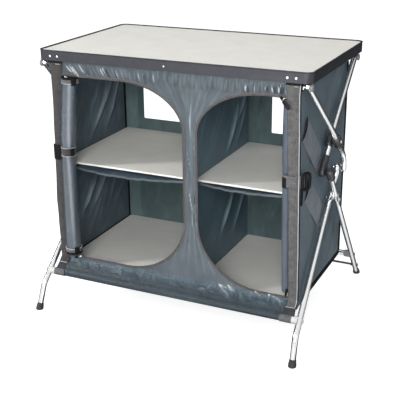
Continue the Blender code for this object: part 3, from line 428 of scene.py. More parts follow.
def linear(r, g, b):
    """An sRGB colour in 0 to 255 as the linear colour that a shader takes."""
    def one(c):
        c /= 255
        return c / 12.92 if c <= 0.04045 else ((c + 0.055) / 1.055) ** 2.4
    return one(r), one(g), one(b), 1.0


class Nodes:
    """A node tree, with short calls for what is added to it."""

    def __init__(self, tree):
        self.tree = tree

    def node(self, kind, settings=(), **inputs):
        made = self.tree.nodes.new("ShaderNode" + kind)
        for key, value in dict(settings).items():
            setattr(made, key, value)
        for key, value in inputs.items():
            self.put(made.inputs[key.replace("_", " ")], value)
        return made

    def put(self, socket, value):
        if isinstance(value, bpy.types.NodeSocket):
            self.tree.links.new(value, socket)
        else:
            socket.default_value = value

    def span(self, value, low, high, to_low=0.0, to_high=1.0):
        """The value's place between low and high, and no further, as one between to_low and to_high."""
        limits = {"From_Min": low, "From_Max": high, "To_Min": to_low, "To_Max": to_high}
        return self.node("MapRange", Value=value, **limits).outputs["Result"]

    def mix(self, factor, a, b, blend="MIX", kind="RGBA"):
        made = self.node("Mix", {"data_type": kind, "blend_type": blend})
        sockets = [s for s in made.inputs if s.enabled]
        for socket, value in zip(sockets, (factor, a, b)):
            self.put(socket, value)
        return next(s for s in made.outputs if s.enabled)

    def times(self, a, b):
        """Two colours multiplied."""
        return self.mix(1.0, a, b, "MULTIPLY")

    def maths(self, operation, a, b=0.0):
        made = self.node("Math", {"operation": operation})
        self.put(made.inputs[0], a)
        self.put(made.inputs[1], b)
        return made.outputs[0]

    def vector(self, operation, *values):
        """A vector sum, or the number that a dot product or a length gives."""
        made = self.node("VectorMath", {"operation": operation})
        for socket, value in zip(made.inputs, values):
            self.put(socket, value)
        return made.outputs["Value" if operation in ("DOT_PRODUCT", "LENGTH") else "Vector"]


class Finish(Nodes):
    """A Principled material and what varies it. Colours in its ramps are sRGB, from 0 to 255."""

    def __init__(self, name, roughness, **sockets):
        self.material = bpy.data.materials.new(name)
        self.material.use_nodes = True
        super().__init__(self.material.node_tree)
        self.shader = self.tree.nodes["Principled BSDF"]
        self.shader.inputs["Roughness"].default_value = roughness
        for key, value in sockets.items():
            self.shader.inputs[key.replace("_", " ")].default_value = value
        self.place = self.node("TexCoord").outputs["Object"]
        self.cloth_place = self.node("TexCoord").outputs["UV"]

    def stretched(self, place, scale):
        return self.node("Mapping", Vector=place, Scale=scale).outputs["Vector"]

    def noise(self, scale, detail=3.0, place=None, roughness=0.55):
        settings = {"Scale": scale, "Detail": detail, "Roughness": roughness}
        return self.node("TexNoise", Vector=place or self.place, **settings).outputs["Fac"]

    def bands(self, pitch, direction):
        """A wave from 0 to 1 that repeats every pitch metres along the cloth's X or Y."""
        settings = {"wave_type": "BANDS", "bands_direction": direction, "wave_profile": "SIN"}
        scale = tau / pitch / 20
        made = self.node("TexWave", settings, Vector=self.cloth_place, Scale=scale, Distortion=0.0)
        return made.outputs["Fac"]

    def ramp(self, value, *stops):
        """Colours or greys between (position, value) stops."""
        made = self.node("ValToRGB", Fac=value)
        ramp = made.color_ramp
        while len(ramp.elements) < len(stops):
            ramp.elements.new(0.5)
        for element, (at, colour) in zip(ramp.elements, stops):
            element.position = at
            element.color = linear(*colour) if isinstance(colour, tuple) else (colour, colour, colour, 1)
        return made.outputs["Color"]

    def painted_light_and_shade_down(self, stops):
        """Painted light and shade by the distance down the cloth, between (distance, brightness) stops."""
        first, last = stops[0][0], stops[-1][0]
        depth = self.node("SeparateXYZ", Vector=self.cloth_place).outputs["Y"]
        shares = [((at - first) / (last - first), shade) for at, shade in stops]
        return self.ramp(self.span(depth, first, last), *shares)

    def bump(self, height, strength, distance, normal=None):
        made = self.node("Bump", Height=height, Strength=strength, Distance=distance)
        if normal:
            self.put(made.inputs["Normal"], normal)
        return made.outputs["Normal"]

    def set(self, **inputs):
        for key, value in inputs.items():
            self.put(self.shader.inputs[key.replace("_", " ")], value)
        return self.material


def woven(name, colour, worn, roughness, thread=0.0006, sheen=0.05, crinkle=1.0, shine=0.3, crest=0.25,
          down=()):
    """Plain-woven polyester: threads both ways, slubs, crinkles and uneven dye, with painted shade in its
    folds and crinkles and painted highlights on its fold crests.

    Down lists painted light and shade by the distance down the cloth.
    """
    finish = Finish(name, roughness, Sheen_Weight=sheen, Sheen_Roughness=0.4, Specular_IOR_Level=shine)
    weave = finish.maths("MULTIPLY", finish.bands(thread, "X"), finish.bands(thread, "Y"))
    slub = finish.noise(900, 2, finish.stretched(finish.cloth_place, (0.15, 1, 1)))
    yarn = finish.mix(0.5, weave, slub)
    patches = finish.ramp(finish.noise(9, 4), (0.3, colour), (0.75, worn))
    cloth = finish.mix(0.8, patches, finish.ramp(yarn, (0.15, 0.82), (0.75, 1.12)), "MULTIPLY")
    crushed = finish.noise(42, 5, finish.stretched(finish.place, (1, 1, 0.45)), 0.62)
    relief = finish.node("Attribute", {"attribute_name": "relief"}).outputs["Fac"]
    height = finish.maths("MULTIPLY", finish.maths("ADD", relief, 1.0), 0.5)
    # Darker in the folds' hollows and lighter on their ridges: painted shade and light.
    folds = finish.ramp(height, (0.0, 0.42), (0.34, 0.76), (0.5, 1.0), (0.70, 1.22), (1.0, 1.6))
    # Lighter where the crinkle bump rises and darker where it dips: painted shade of the crinkles.
    soft = finish.ramp(crushed, (0.30, 0.84), (0.55, 1.0), (0.72, 1.20))
    shaded = finish.times(finish.times(cloth, folds), soft)
    # Painted light and shade down the cloth.
    if down:
        shaded = finish.times(shaded, finish.painted_light_and_shade_down(down))
    # A pale colour mixed in on the highest ridges, up to crest: a painted highlight.
    bright = finish.ramp(height, (0.74, 0.0), (1.0, crest))
    lit = finish.mix(bright, shaded, linear(208, 213, 216))
    normal = finish.bump(yarn, 0.35, 0.0003, finish.bump(crushed, 0.35 * crinkle, 0.004))
    uneven = finish.ramp(crushed, (0.3, roughness - 0.09), (0.7, roughness + 0.08))
    return finish.set(Base_Color=lit, Roughness=uneven, Normal=normal)


def heather(name, dark, light, roughness=0.75, rib=0.0016, sheen=0.15, shine=0.3):
    """Heavy webbing: ribs across it and yarns of two shades."""
    finish = Finish(name, roughness, Sheen_Weight=sheen, Sheen_Roughness=0.5, Specular_IOR_Level=shine)
    weave = finish.mix(0.5, finish.bands(rib, "X"), finish.bands(rib * 0.8, "Y"))
    fleck = finish.noise(1500, 2, finish.stretched(finish.cloth_place, (0.4, 1, 1)))
    flecked = finish.ramp(finish.mix(0.3, fleck, finish.noise(60, 3)), (0.38, dark), (0.62, light))
    worn = finish.ramp(finish.noise(330, 2), (0.34, 0.70), (0.50, 1.0), (0.68, 1.35))
    ribbed = finish.ramp(weave, (0.2, 0.7), (0.8, 1.15))
    colour = finish.mix(0.5, finish.times(flecked, worn), ribbed, "MULTIPLY")
    return finish.set(Base_Color=colour, Normal=finish.bump(weave, 0.5, 0.0005))


def zip_tape(name, dark, light, glint):
    """Mottled zip tape, dark and light, with small painted glints along its teeth."""
    finish = Finish(name, 0.6, Specular_IOR_Level=0.3)
    teeth = finish.bands(TOOTH_PITCH, "X")
    fleck = finish.noise(700, 3, finish.cloth_place)
    mottled = finish.ramp(fleck, (0.35, dark), (0.6, light))
    glint_spots = finish.ramp(finish.maths("MULTIPLY", teeth, fleck), (0.45, 0.0), (0.62, 1.0))
    # Painted highlights on the teeth.
    colour = finish.mix(glint_spots, mottled, linear(*glint))
    return finish.set(Base_Color=colour, Normal=finish.bump(teeth, 0.4, 0.0006))


def laminate(name, colour, speck, roughness):
    """Printed board: a fine grey speckle and a soft sheen that varies a little."""
    finish = Finish(name, roughness, Specular_IOR_Level=0.45)
    speckle = finish.noise(1400, 2)
    specks = finish.ramp(speckle, (0.36, speck), (0.5, colour))
    wide = finish.ramp(finish.noise(16, 4), (0.3, 0.96), (0.7, 1.03))
    gloss = finish.ramp(finish.noise(55, 4), (0.3, roughness - 0.05), (0.7, roughness + 0.07))
    bump = finish.bump(speckle, 0.08, 0.0002)
    return finish.set(Base_Color=finish.times(specks, wide), Roughness=gloss, Normal=bump)


def painted(name, colour, worn, roughness, metallic=0.0, grain=1100, shine=0.5):
    """Powder coat or moulded plastic: a fine pebble grain, rubbed a little lighter in patches."""
    finish = Finish(name, roughness, Metallic=metallic, Specular_IOR_Level=shine)
    pebble = finish.noise(grain, 2)
    rubbed = finish.noise(26, 5, roughness=0.65)
    shade = finish.ramp(rubbed, (0.42, colour), (0.72, worn))
    fine = finish.mix(0.35, shade, finish.ramp(pebble, (0.35, 0.8), (0.65, 1.15)), "MULTIPLY")
    gloss = finish.ramp(rubbed, (0.35, roughness + 0.06), (0.7, roughness - 0.08))
    return finish.set(Base_Color=fine, Roughness=gloss, Normal=finish.bump(pebble, 0.25, 0.0003))


def brushed(name, colour, roughness, stretch=(1, 1, 1)):
    """Bright metal with fine drawing lines, smudges and faint scuffs."""
    finish = Finish(name, roughness, Metallic=1.0)
    lines = finish.noise(1500, 2, finish.stretched(finish.place, stretch))
    smudge = finish.noise(24, 4)
    tint = finish.times(linear(*colour), finish.ramp(smudge, (0.3, 0.93), (0.7, 1.0)))
    gloss = finish.ramp(finish.mix(0.5, lines, smudge), (0.35, roughness - 0.05), (0.65, roughness + 0.08))
    return finish.set(Base_Color=tint, Roughness=gloss, Normal=finish.bump(lines, 0.08, 0.0002))


def coat(obj, *materials):
    obj.data.materials.clear()
    for material in materials:
        obj.data.materials.append(material)


# The hem below the knee: a darker copy of the cloth, with painted shade on its slope under the knee and
# painted light on the top of the front rail.
HEM_PAINTED_LIGHT_AND_SHADE = ((0.62, 1.05), (0.634, 0.76), (0.650, 0.46), (0.682, 0.44), (0.690, 2.1), (0.72, 1.5))
CLOTH = woven("cloth_outer", (71, 81, 88), (86, 95, 102), 0.36, crinkle=1.5, shine=0.35, crest=0.95)
CLOTH_HEM = woven("cloth_hem", (61, 77, 87), (76, 93, 103), 0.40, crinkle=1.6, crest=0.3, down=HEM_PAINTED_LIGHT_AND_SHADE)
# A darker copy of the cloth for the slings under the shelves: painted shade.
SHADED_SLING_CLOTH = woven("cloth_sling_painted_shade", (50, 64, 75), (66, 80, 91), 0.42, crinkle=1.6)
# The coated inner side: its own colour, made lighter to stand in for the light inside the cupboard, so
# partly painted light.
CLOTH_INNER = woven("cloth_coated_painted_light", (80, 98, 100), (94, 112, 114), 0.44, crest=0.12)
SIDE_CLOTH = woven("cloth_side", (83, 99, 109), (99, 115, 124), 0.50, shine=0.2)
ROLL_CLOTH = woven("cloth_roll", (67, 79, 89), (80, 91, 101), 0.22, sheen=0.0, shine=0.7, crinkle=0.6)
ROLL_DULL = woven("cloth_roll_right", (80, 89, 100), (96, 104, 115), 0.5, sheen=0.0, shine=0.2)
POCKET_CLOTH = woven("cloth_pocket", (103, 112, 123), (131, 138, 148), 0.55, shine=0.2, crinkle=1.8)
DIVIDER_CLOTH = woven("cloth_divider", (76, 102, 116), (90, 116, 128), 0.44)
PIPING = woven("piping_bright", (168, 168, 170), (196, 196, 196), 0.5, thread=0.0009, sheen=0.25, shine=0.4)
STRIP_RIGHT = heather("webbing_grey", (64, 63, 64), (110, 109, 109))
STRIP_LEFT = heather("webbing_brown", (40, 38, 38), (72, 69, 69))
RAIL_WRAP = heather("rail_wrap", (78, 80, 84), (116, 118, 121), 0.7, sheen=0.0, shine=0.2)
GUSSET = heather("gusset_dark", (38, 39, 42), (66, 67, 71), 0.7, sheen=0.0, shine=0.2)
STRAP = heather("webbing_strap", (78, 77, 80), (112, 110, 112), rib=0.0022)
BLACK = heather("binding_black", (8, 8, 10), (19, 19, 21), 0.7, rib=0.0012, sheen=0.0, shine=0.15)
WELT = heather("zip_welt", (60, 62, 64), (128, 130, 132), rib=0.0012)
TAPE = zip_tape("zip_tape", (20, 19, 20), (86, 82, 82), (150, 149, 147))
ZIP_METAL = brushed("zip_slider", (196, 196, 194), 0.28)


# The finishes of the rigid pieces


LAMINATE = laminate("table_laminate", (226, 225, 219), (198, 196, 190), 0.42)
# The shelves' laminate, made lighter than the table top's to stand in for light reaching them inside the
# cupboard: partly painted light.
BOARD = laminate("shelf_board_painted_light", (236, 234, 228), (212, 210, 203), 0.38)
EDGE = painted("edge_paint", (31, 34, 41), (42, 45, 52), 0.5)
EDGE_BEAD = painted("edge_bead", (36, 37, 42), (52, 53, 58), 0.5)
DARK_PLASTIC = painted("moulded_charcoal", (38, 39, 42), (80, 81, 85), 0.42)
GREY_PLASTIC = painted("moulded_grey", (112, 113, 116), (138, 139, 142), 0.5)
BLACK_PLASTIC = painted("moulded_black", (8, 8, 10), (20, 20, 22), 0.5, shine=0.15)
PALE_PLASTIC = painted("moulded_pale", (196, 196, 192), (214, 214, 210), 0.42)
ROD = painted("rod_paint", (64, 65, 68), (84, 84, 88), 0.45, 0.4)
RUBBER = painted("foot_rubber", (34, 34, 37), (58, 58, 62), 0.72, grain=700)
ALUMINIUM = brushed("tube_aluminium", (236, 237, 238), 0.15, (1, 0.35, 0.06))
CROSS_ALUMINIUM = brushed("cross_aluminium", (232, 233, 234), 0.24, (0.05, 1, 1))
STEEL = brushed("zinc_steel", (212, 213, 216), 0.3)

# Each zip's end: its name, x, height, lean and slider's finish, then its puller's size and how proud it is
ZIP_ENDS = (
    ("upper_right", 0.3405, 0.7310, radians(-40), BLACK_PLASTIC, 1.7, 0.006),
    ("upper_left", -0.3330, 0.7262, radians(-60), ZIP_METAL, 0.9),
    ("lower_left", -0.3170, 0.1615, radians(70), ZIP_METAL),
    ("lower_right", 0.3580, 0.1800, radians(8), BLACK_PLASTIC, 0.9),
)

NODE_FINISHES = (
    (("top_panel",), LAMINATE),
    (("edge_frame",), EDGE),
    (("front_top_tube", "rear_top_tube", "front_rail", "rear_rail"), CROSS_ALUMINIUM),
    (("upper_front_bar", "upper_rear_bar", "rear_leg_", "front_leg_"), ALUMINIUM),
    (("front_clip", "rear_hook", "upper_block", "grip_"), DARK_PLASTIC),
    (("front_socket",), PALE_PLASTIC),
    (("rear_socket",), GREY_PLASTIC),
    (("edge_rivet", "centre_screw", "upper_bolt", "lower_bolt", "lower_plate"), STEEL),
    (("rear_rod",), ROD),
    (("front_foot", "rear_foot"), RUBBER),
    (("mid_shelf", "bottom_shelf"), BOARD),
)


def smooth_normals(obj, limit=radians(38)):
    """Round shading for a faceted solid: faces that meet softly share a normal at their corners."""
    mesh = obj.data
    corners = {}
    for face in mesh.polygons:
        for loop in face.loop_indices:
            co = mesh.vertices[mesh.loops[loop].vertex_index].co
            corners.setdefault(tuple(round(c, 6) for c in co), []).append((loop, face))
    normals = [None] * len(mesh.loops)
    soft = cos(limit)
    for sharing in corners.values():
        for loop, face in sharing:
            total = Vector((0, 0, 0))
            for _, other in sharing:
                if face.normal.dot(other.normal) > soft:
                    total += other.normal * other.area
            normals[loop] = total.normalized() if total.length > 0 else face.normal.copy()
    mesh.polygons.foreach_set("use_smooth", np.ones(len(mesh.polygons), bool))
    mesh.normals_split_custom_set(normals)


def dress_nodes():
    for name, obj in frame["nodes"].items():
        for starts, material in NODE_FINISHES:
            if name.startswith(starts):
                coat(obj, material)
                smooth_normals(obj)


# Cloth


def carried(piece, body="table"):
    """A piece that moves with a body and keeps its shape."""
    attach(piece, body)


def on_cupboard(piece):
    """The cupboard's cloth hangs from the table, moving with it, with a mesh of its own."""
    carried(piece, "table")
    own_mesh(piece)


def sewn(piece, *materials):
    """A piece of the cupboard's cloth."""
    coat(piece, *materials)
    on_cupboard(piece)


def on_roll(piece, *materials):
    """A piece of a rolled door, which hangs from the table with the cupboard's cloth."""
    coat(piece, *materials)
    on_cupboard(piece)


def fitting(piece, material):
    """A small fitting sewn to the cloth, which moves with it."""
    coat(piece, material)
    on_cupboard(piece)


def rigid(piece, material, body="table"):
    """A hard fitting that keeps its shape and moves with a body."""
    coat(piece, material)
    carried(piece, body)


def slack(z):
    """How freely a wall hangs at this height: most between the shelves, not at all at them."""
    total = np.zeros_like(z)
    for low, high in ((FLOOR_BOARD_TOP, SHELF_LOW.z), (SHELF_HIGH.z, CLOTH_TOP)):
        share = np.clip((z - low) / (high - low), 0, 1)
        total = np.maximum(total, np.sin(pi * share) ** 0.6)
    return total


def corner_x(side, z):
    """Where a front corner stands: the left one is drawn in, the right one pushed out lower down."""
    left = np.interp(z, (0.15, 0.203, 0.337, 0.499, 0.684, 0.745, CLOTH_TOP),
                     (0.3835, 0.3835, 0.3865, 0.3800, 0.3745, 0.3765, 0.3830))
    right = np.interp(z, (0.15, 0.279, 0.454, 0.594, 0.741, CLOTH_TOP),
                      (0.3935, 0.3925, 0.3890, 0.3865, 0.3830, 0.3850))
    return np.where(np.asarray(side) < 0, -left, right)


def drawn_in(x, z):
    """The front's x after its corners have moved, easing off towards the divider."""
    x = np.asarray(x, float)
    move = corner_x(x, z) - np.sign(x) * HALF
    return x + move * np.clip((np.abs(x) - 0.24) / (HALF - 0.26), 0, 1)


def front_profile():
    """The front cloth in the side view, from its top edge down and round the front rail, as (y, z)."""
    radius = TUBE_RADIUS + CLOTH_CLEARANCE
    knee = Vector((FRONT_Y, KNEE_HEIGHT))
    rail = Vector((RAIL.y, RAIL.z))
    apart = knee - rail
    start = atan2(apart.y, apart.x) + acos(radius / apart.length)
    end = radians(330)
    wrap = [rail + radius * Vector((cos(a), sin(a))) for a in np.linspace(start, end, 14)]
    soft = 0.010
    down = knee + Vector((0, soft))
    ahead = knee + (wrap[0] - knee).normalized() * soft
    bend = [down.lerp(knee, t).lerp(knee.lerp(ahead, t), t) for t in np.linspace(0, 1, 7)]
    points = [Vector((FRONT_Y, CLOTH_TOP))] + bend + wrap
    return resampled([tuple(p) for p in points], 0.001)


class SidePath:
    """A cloth's course in the side view, read by the distance down it."""

    def __init__(self, points):
        self.points = np.asarray(points, float)
        self.along = distances(self.points)
        self.ways = tangents(self.points)
        self.length = float(self.along[-1])

    def at(self, s):
        y, z = (np.interp(s, self.along, self.points[:, k]) for k in (0, 1))
        ty, tz = (np.interp(s, self.along, self.ways[:, k]) for k in (0, 1))
        return y, z, tz, -ty


FRONT_PATH = SidePath(front_profile())


def elliptic(centre_u, centre_v, reach_u, reach_v, start, steps=16):
    """A quarter of an ellipse from the start angle on."""
    angles = [start + pi / 2 * i / steps for i in range(steps + 1)]
    return [(centre_u + reach_u * cos(a), centre_v + reach_v * sin(a)) for a in angles]


def arch_edge(straight_x, curved_x):
    """An opening's edge from its lower corner round by the divider to its upper corner, as (x, z)."""
    way = 1 if curved_x > straight_x else -1
    reach = min(ARCH_WIDTH_RADIUS, abs(curved_x - straight_x) * 0.9)
    centre = curved_x - way * reach
    lower = elliptic(0, OPENING_BOTTOM + ARCH_BOTTOM_RADIUS, reach, ARCH_BOTTOM_RADIUS, -pi / 2)
    upper = elliptic(0, OPENING_TOP - ARCH_TOP_RADIUS, reach, ARCH_TOP_RADIUS, 0)
    curve = [(centre + way * x, z) for x, z in lower + upper]
    return [(straight_x, OPENING_BOTTOM)] + curve + [(straight_x, OPENING_TOP)]


ARCHES = {
    "left": arch_edge(CORNER_STRIP - HALF, CENTRE_LEFT),
    "right": arch_edge(HALF - CORNER_STRIP, CENTRE_RIGHT),
}


def band_gathers():
    """Gathers of the top band: long and slanted at the left, faint in the middle, criss-cross at right."""
    rng = random.Random(11)
    lines = []
    x = -0.331
    while x < 0.345:
        left, right = max(0.0, -x / HALF), max(0.0, x / HALF)
        height = (0.0017 + 0.0052 * left**0.6 + 0.0036 * max(0.0, right - 0.35)) * rng.uniform(0.45, 1.2)
        slant = 0.028 * left + rng.uniform(-0.003, 0.003) + right * rng.choice((-0.011, 0.010, 0.001))
        top = rng.uniform(-0.002, 0.012) + 0.004 * left
        half = rng.uniform(0.0017, 0.0030) * (1.0 if left > 0.15 or right > 0.5 else 1.5)
        lines.append((x, top, x + slant, top + rng.uniform(0.024, 0.036), half, height))
        if rng.random() < 0.55:
            aside = x + rng.uniform(0.004, 0.008)
            lines.append((aside, top + 0.004, aside + slant, top + 0.036, half * 1.4, -0.7 * height))
        x += rng.uniform(0.009, 0.019) if left > 0 else rng.uniform(0.006, 0.012)
    return lines


def strip_creases():
    """Upright creases of the centre strip, with a fan into the band above it and the hem below it."""
    rng = random.Random(5)
    lines = [(0.056, 0.205, 0.072, 0.290, 0.0015, 0.0034), (0.060, 0.320, 0.075, 0.400, 0.0015, 0.0032),
             (0.078, 0.175, 0.084, 0.235, 0.0014, 0.0030)]
    for _ in range(16):
        x = CENTRE_LEFT + 0.003 + (CENTRE_RIGHT - CENTRE_LEFT - 0.006) * rng.random()
        start = rng.uniform(0.06, 0.42)
        length = rng.uniform(0.09, 0.22)
        lean = rng.uniform(-0.012, 0.012)
        way = rng.choice((1, 1, -0.8))
        lines.append((x, start, x + lean, start + length, rng.uniform(0.0018, 0.0036),
                      way * rng.uniform(0.0010, 0.0024)))
    middle = (CENTRE_LEFT + CENTRE_RIGHT) / 2
    for i in range(12):
        share = i / 11 - 0.5 + rng.uniform(-0.03, 0.03)
        top = 0.014 + rng.uniform(0, 0.035)
        lines.append((middle + share * 0.24, top, middle + share * 0.062, top + rng.uniform(0.05, 0.13),
                      rng.uniform(0.0018, 0.0034), rng.choice((1, 1, -0.8)) * rng.uniform(0.0010, 0.0026)))
    for i in range(8):
        share = i / 7 - 0.5
        foot = middle + share * 0.20
        lines.append((middle + share * 0.036, 0.43, foot, 0.60, 0.0030, rng.uniform(0.0010, 0.0024)))
    return lines


def hem_creases():
    """Slanting crinkles above the front rail, most under the right opening."""
    low = CLOTH_TOP - OPENING_BOTTOM
    right = random_creases(21, 18, (0.16, low + 0.006), (0.36, low + 0.045), (50, 14), (0.03, 0.07),
                           (0.0022, 0.0042), (0.0018, 0.0040))
    left = random_creases(22, 30, (-0.34, low + 0.006), (0.15, low + 0.05), (72, 22), (0.02, 0.07),
                          (0.0022, 0.0045), (0.0008, 0.0022))
    dents = random_creases(23, 22, (-0.34, low + 0.004), (0.34, low + 0.05), (60, 30), (0.02, 0.06),
                           (0.003, 0.006), (-0.0022, -0.0008))
    tucks = [(x, low + 0.001, x + 0.004, low + 0.016, 0.0018, 0.0016)
             for x in np.arange(-0.33, 0.34, 0.013)]
    return right + left + dents + tucks


def front_outline(width):
    """The front's cut: its full width down to the knee, drawn in beside the corners below it."""
    knee = CLOTH_TOP - KNEE_HEIGHT + 0.002
    edge = width / 2
    corner = [(edge, knee), (edge - HEM_INSET, knee + 0.002), (edge - HEM_INSET - 0.002, FRONT_PATH.length)]
    return [(-edge, 0), (edge, 0)] + corner + [(-x, s) for x, s in corner[::-1]]


def make_front_cloth():
    """The front: a gathered band, the strip between two arched openings, and the hem round the rail."""
    width = 2 * (HALF - THICKNESS)
    holes = [[(x, CLOTH_TOP - z) for x, z in edge] for edge in ARCHES.values()]
    flat, triangles = cut_pattern(front_outline(width), holes, 0.0026, 0.0042, BAND_HEIGHT + 0.004)
    x, s = flat[:, 0], flat[:, 1]
    lines = band_gathers() + strip_creases() + hem_creases()
    y, z, ny, nz = FRONT_PATH.at(s)
    free = np.clip((FRONT_PATH.length - 0.050 - s) / 0.02, 0, 1)
    lift = creases(x, s, lines) * free
    band = np.clip((BAND_HEIGHT + 0.006 - s) / 0.008, 0, 1)
    # The band under the table's edge is also made darker as a whole: painted shade.
    relief = lift / (0.0042 - 0.0012 * band) - 0.25 * band
    stitched = 0.0006 * np.exp(-((s - FRONT_PATH.length + 0.047) / 0.002) ** 2)
    lift = lift - stitched
    points = np.stack([drawn_in(x, z), y + ny * lift, z + nz * lift], axis=1)
    piece = thick_sheet("front_cloth", points, triangles[:, ::-1], flat, relief=relief)
    sewn(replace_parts(piece, "front_panel"), CLOTH, CLOTH_INNER, CLOTH_HEM)
    below_knee = s[triangles].mean(axis=1) > CLOTH_TOP - KNEE_HEIGHT - 0.004
    for index in np.nonzero(below_knee)[0]:
        piece.data.polygons[int(index)].material_index = 2


def front_point(x, z, proud=0.0):
    """A point on the front cloth's outer side at this height above the knee."""
    return np.array([float(drawn_in(x, z)), FRONT_Y - THICKNESS / 2 - proud, z])


def make_arch_trim(side):
    """The zip tape round an opening, the coil of teeth on its edge, and the seam outside it."""
    turn = 1 if side == "left" else -1
    edge = resampled([front_point(x, z, TAPE_THICKNESS / 2) for x, z in ARCHES[side]], 0.004)
    outward = np.cross(tangents(edge), (0, -1, 0)) * turn
    middle = edge + outward * TAPE_WIDTH * 0.35
    sewn(ribbon("zip_tape_" + side, middle, outward, TAPE_WIDTH, TAPE_THICKNESS), TAPE)
    fine = resampled(edge, TOOTH_PITCH / 4)
    inward = -np.cross(tangents(fine), (0, -1, 0)) * turn
    swell = COIL_RADIUS * (1 + 0.22 * np.sin(np.arange(len(fine)) * tau / 4))
    sewn(cordlike("zip_coil_" + side, fine + inward * COIL_RADIUS * 0.6, swell, 6), TAPE)
    seam = edge + outward * TAPE_WIDTH * 0.88
    free = np.abs(seam[:, 0]) < 0.338
    sewn(cordlike("zip_welt_" + side, seam[free], 0.0008), WELT)


def wall_creases(seed, pulls):
    """Tension folds from the top at the back to the shelf's front edge, and finer ones beside them."""
    rng = random.Random(seed)
    lines = []
    for low, high in ((SHELF_HIGH.z, CLOTH_TOP - 0.02), (FLOOR_BOARD_TOP, SHELF_LOW.z)):
        height = high - low
        for i in range(7):
            foot = FRONT_Y + 0.03 + 0.30 * (i + rng.uniform(-0.3, 0.3)) / 7
            start = low + rng.uniform(-0.01, 0.03)
            rise = height * rng.uniform(0.5, 0.85)
            lines.append((foot, start, foot + rise * rng.uniform(0.55, 0.95), start + rise,
                          rng.uniform(0.004, 0.008), rng.uniform(0.002, 0.005)))
        lines += random_creases(seed + 7, 26, (FRONT_Y + 0.02, low + 0.03), (BACK_Y - 0.02, high - 0.03),
                                (38, 9), (0.05, 0.14), (0.002, 0.0045), (0.0008, 0.0026))
    for top_y, top_z, foot_y, foot_z in pulls:
        lines.append((foot_y, foot_z, top_y, top_z, 0.008, 0.009))
        lines.append((foot_y + 0.020, foot_z, top_y + 0.020, top_z, 0.006, -0.006))
        lines.append((foot_y - 0.013, foot_z, top_y - 0.016, top_z, 0.004, 0.003))
    return lines


LEFT_PULLS = ((0.150, 0.690, -0.060, 0.450), (0.200, 0.700, 0.050, 0.474), (0.010, 0.368, -0.120, 0.240),
              (0.080, 0.370, -0.040, 0.250))
DIVIDER_PULLS = ((0.216, 0.640, 0.080, 0.455), (0.190, 0.650, -0.010, 0.440), (0.120, 0.620, 0.020, 0.470),
                 (0.100, 0.360, -0.040, 0.210), (0.180, 0.340, 0.060, 0.180))


def wall_parts(name, front, back, foot):
    """A wall cut clear of the front cross tube, and the tab under the tube that closes its front corner."""
    behind = FRONT_TUBE.y + TUBE_RADIUS + 0.0025
    low = min(TAB_FOOT.values())
    wall = [(behind, CLOTH_TOP), (behind, low), (front, low), (front, foot), (back, foot),
            (back, CLOTH_TOP)]
    tab_top = FRONT_TUBE.z - TUBE_RADIUS - 0.0012
    tab_foot = TAB_FOOT[name]
    tab = [(front, tab_top), (front, tab_foot), (behind, tab_foot), (behind, tab_top)]
    return (("cloth", cut_pattern(wall, [], 0.0045, 0.0055), (back - front, CLOTH_TOP - foot)),
            ("tab", cut_pattern(tab, [], 0.0040, 0.0055), (behind - front, tab_top - tab_foot)))


def hang_wall(piece, part, node):
    """A wall replaces its node and hangs from the table with the cupboard's cloth; its tab moves with the
    table and keeps its shape.
    """
    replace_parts(piece, node)
    if part == "cloth":
        on_cupboard(piece)
    else:
        carried(piece)


def clear_of_edges(y, front, back):
    """How freely a wall moves here: not at all at its front and back edges."""
    return np.clip(np.minimum(y - front - 0.02, back - y) / 0.05, 0, 1) ** 0.6


def make_side_cloth(name, side):
    """A side wall, from the table down to the floor cloth."""
    front, back = FRONT_Y + THICKNESS, BACK_Y - THICKNESS
    pulled = wall_creases(31, ()) if side > 0 else wall_creases(47, LEFT_PULLS)
    for part, (flat, triangles), size in wall_parts(name, front, back, WALL_FOOT):
        y, z = flat[:, 0], flat[:, 1]
        free = slack(z) * clear_of_edges(y, front, back)
        depth = creases(y, z, pulled) * free
        relief = (0.0012 - depth) / 0.0065
        depth += 0.002 * free * np.sin(tau * (y + 0.3 * z) / 0.19)
        moved = np.abs(corner_x(side, z)) - HALF
        ease = np.clip(1 - (y - front) / 0.16, 0, 1) ** 1.5
        x = side * (HALF + moved * ease - np.clip(depth, -0.002, 0.012))
        points = np.stack([x, y, z], axis=1)
        turned = triangles if side > 0 else triangles[:, ::-1]
        piece = thick_sheet("side_%s_%s" % (part, name), points, turned, flat, relief=relief)
        coat(piece, SIDE_CLOTH, CLOTH_INNER)
        hang_wall(piece, part, "side_wall_" + name)


def make_divider():
    """The divider, from the table down to the floor cloth. Its folds stand out to the right."""
    front, back = FRONT_Y + 2 * THICKNESS, BACK_Y - 2 * THICKNESS
    pulled = wall_creases(59, DIVIDER_PULLS)
    for part, (flat, triangles), size in wall_parts("divider", front, back, FLOOR_Z + THICKNESS):
        y, z = flat[:, 0], flat[:, 1]
        depth = (creases(y, z, pulled) - 0.003) * slack(z) * clear_of_edges(y, front, back)
        points = np.stack([DIVIDER_X + np.clip(depth, 0.0, 0.010), y, z], axis=1)
        piece = thick_sheet("divider_" + part, points, triangles, flat, relief=(depth + 0.0015) / 0.0065)
        coat(piece, DIVIDER_CLOTH, DIVIDER_CLOTH)
        hang_wall(piece, part, "divider")


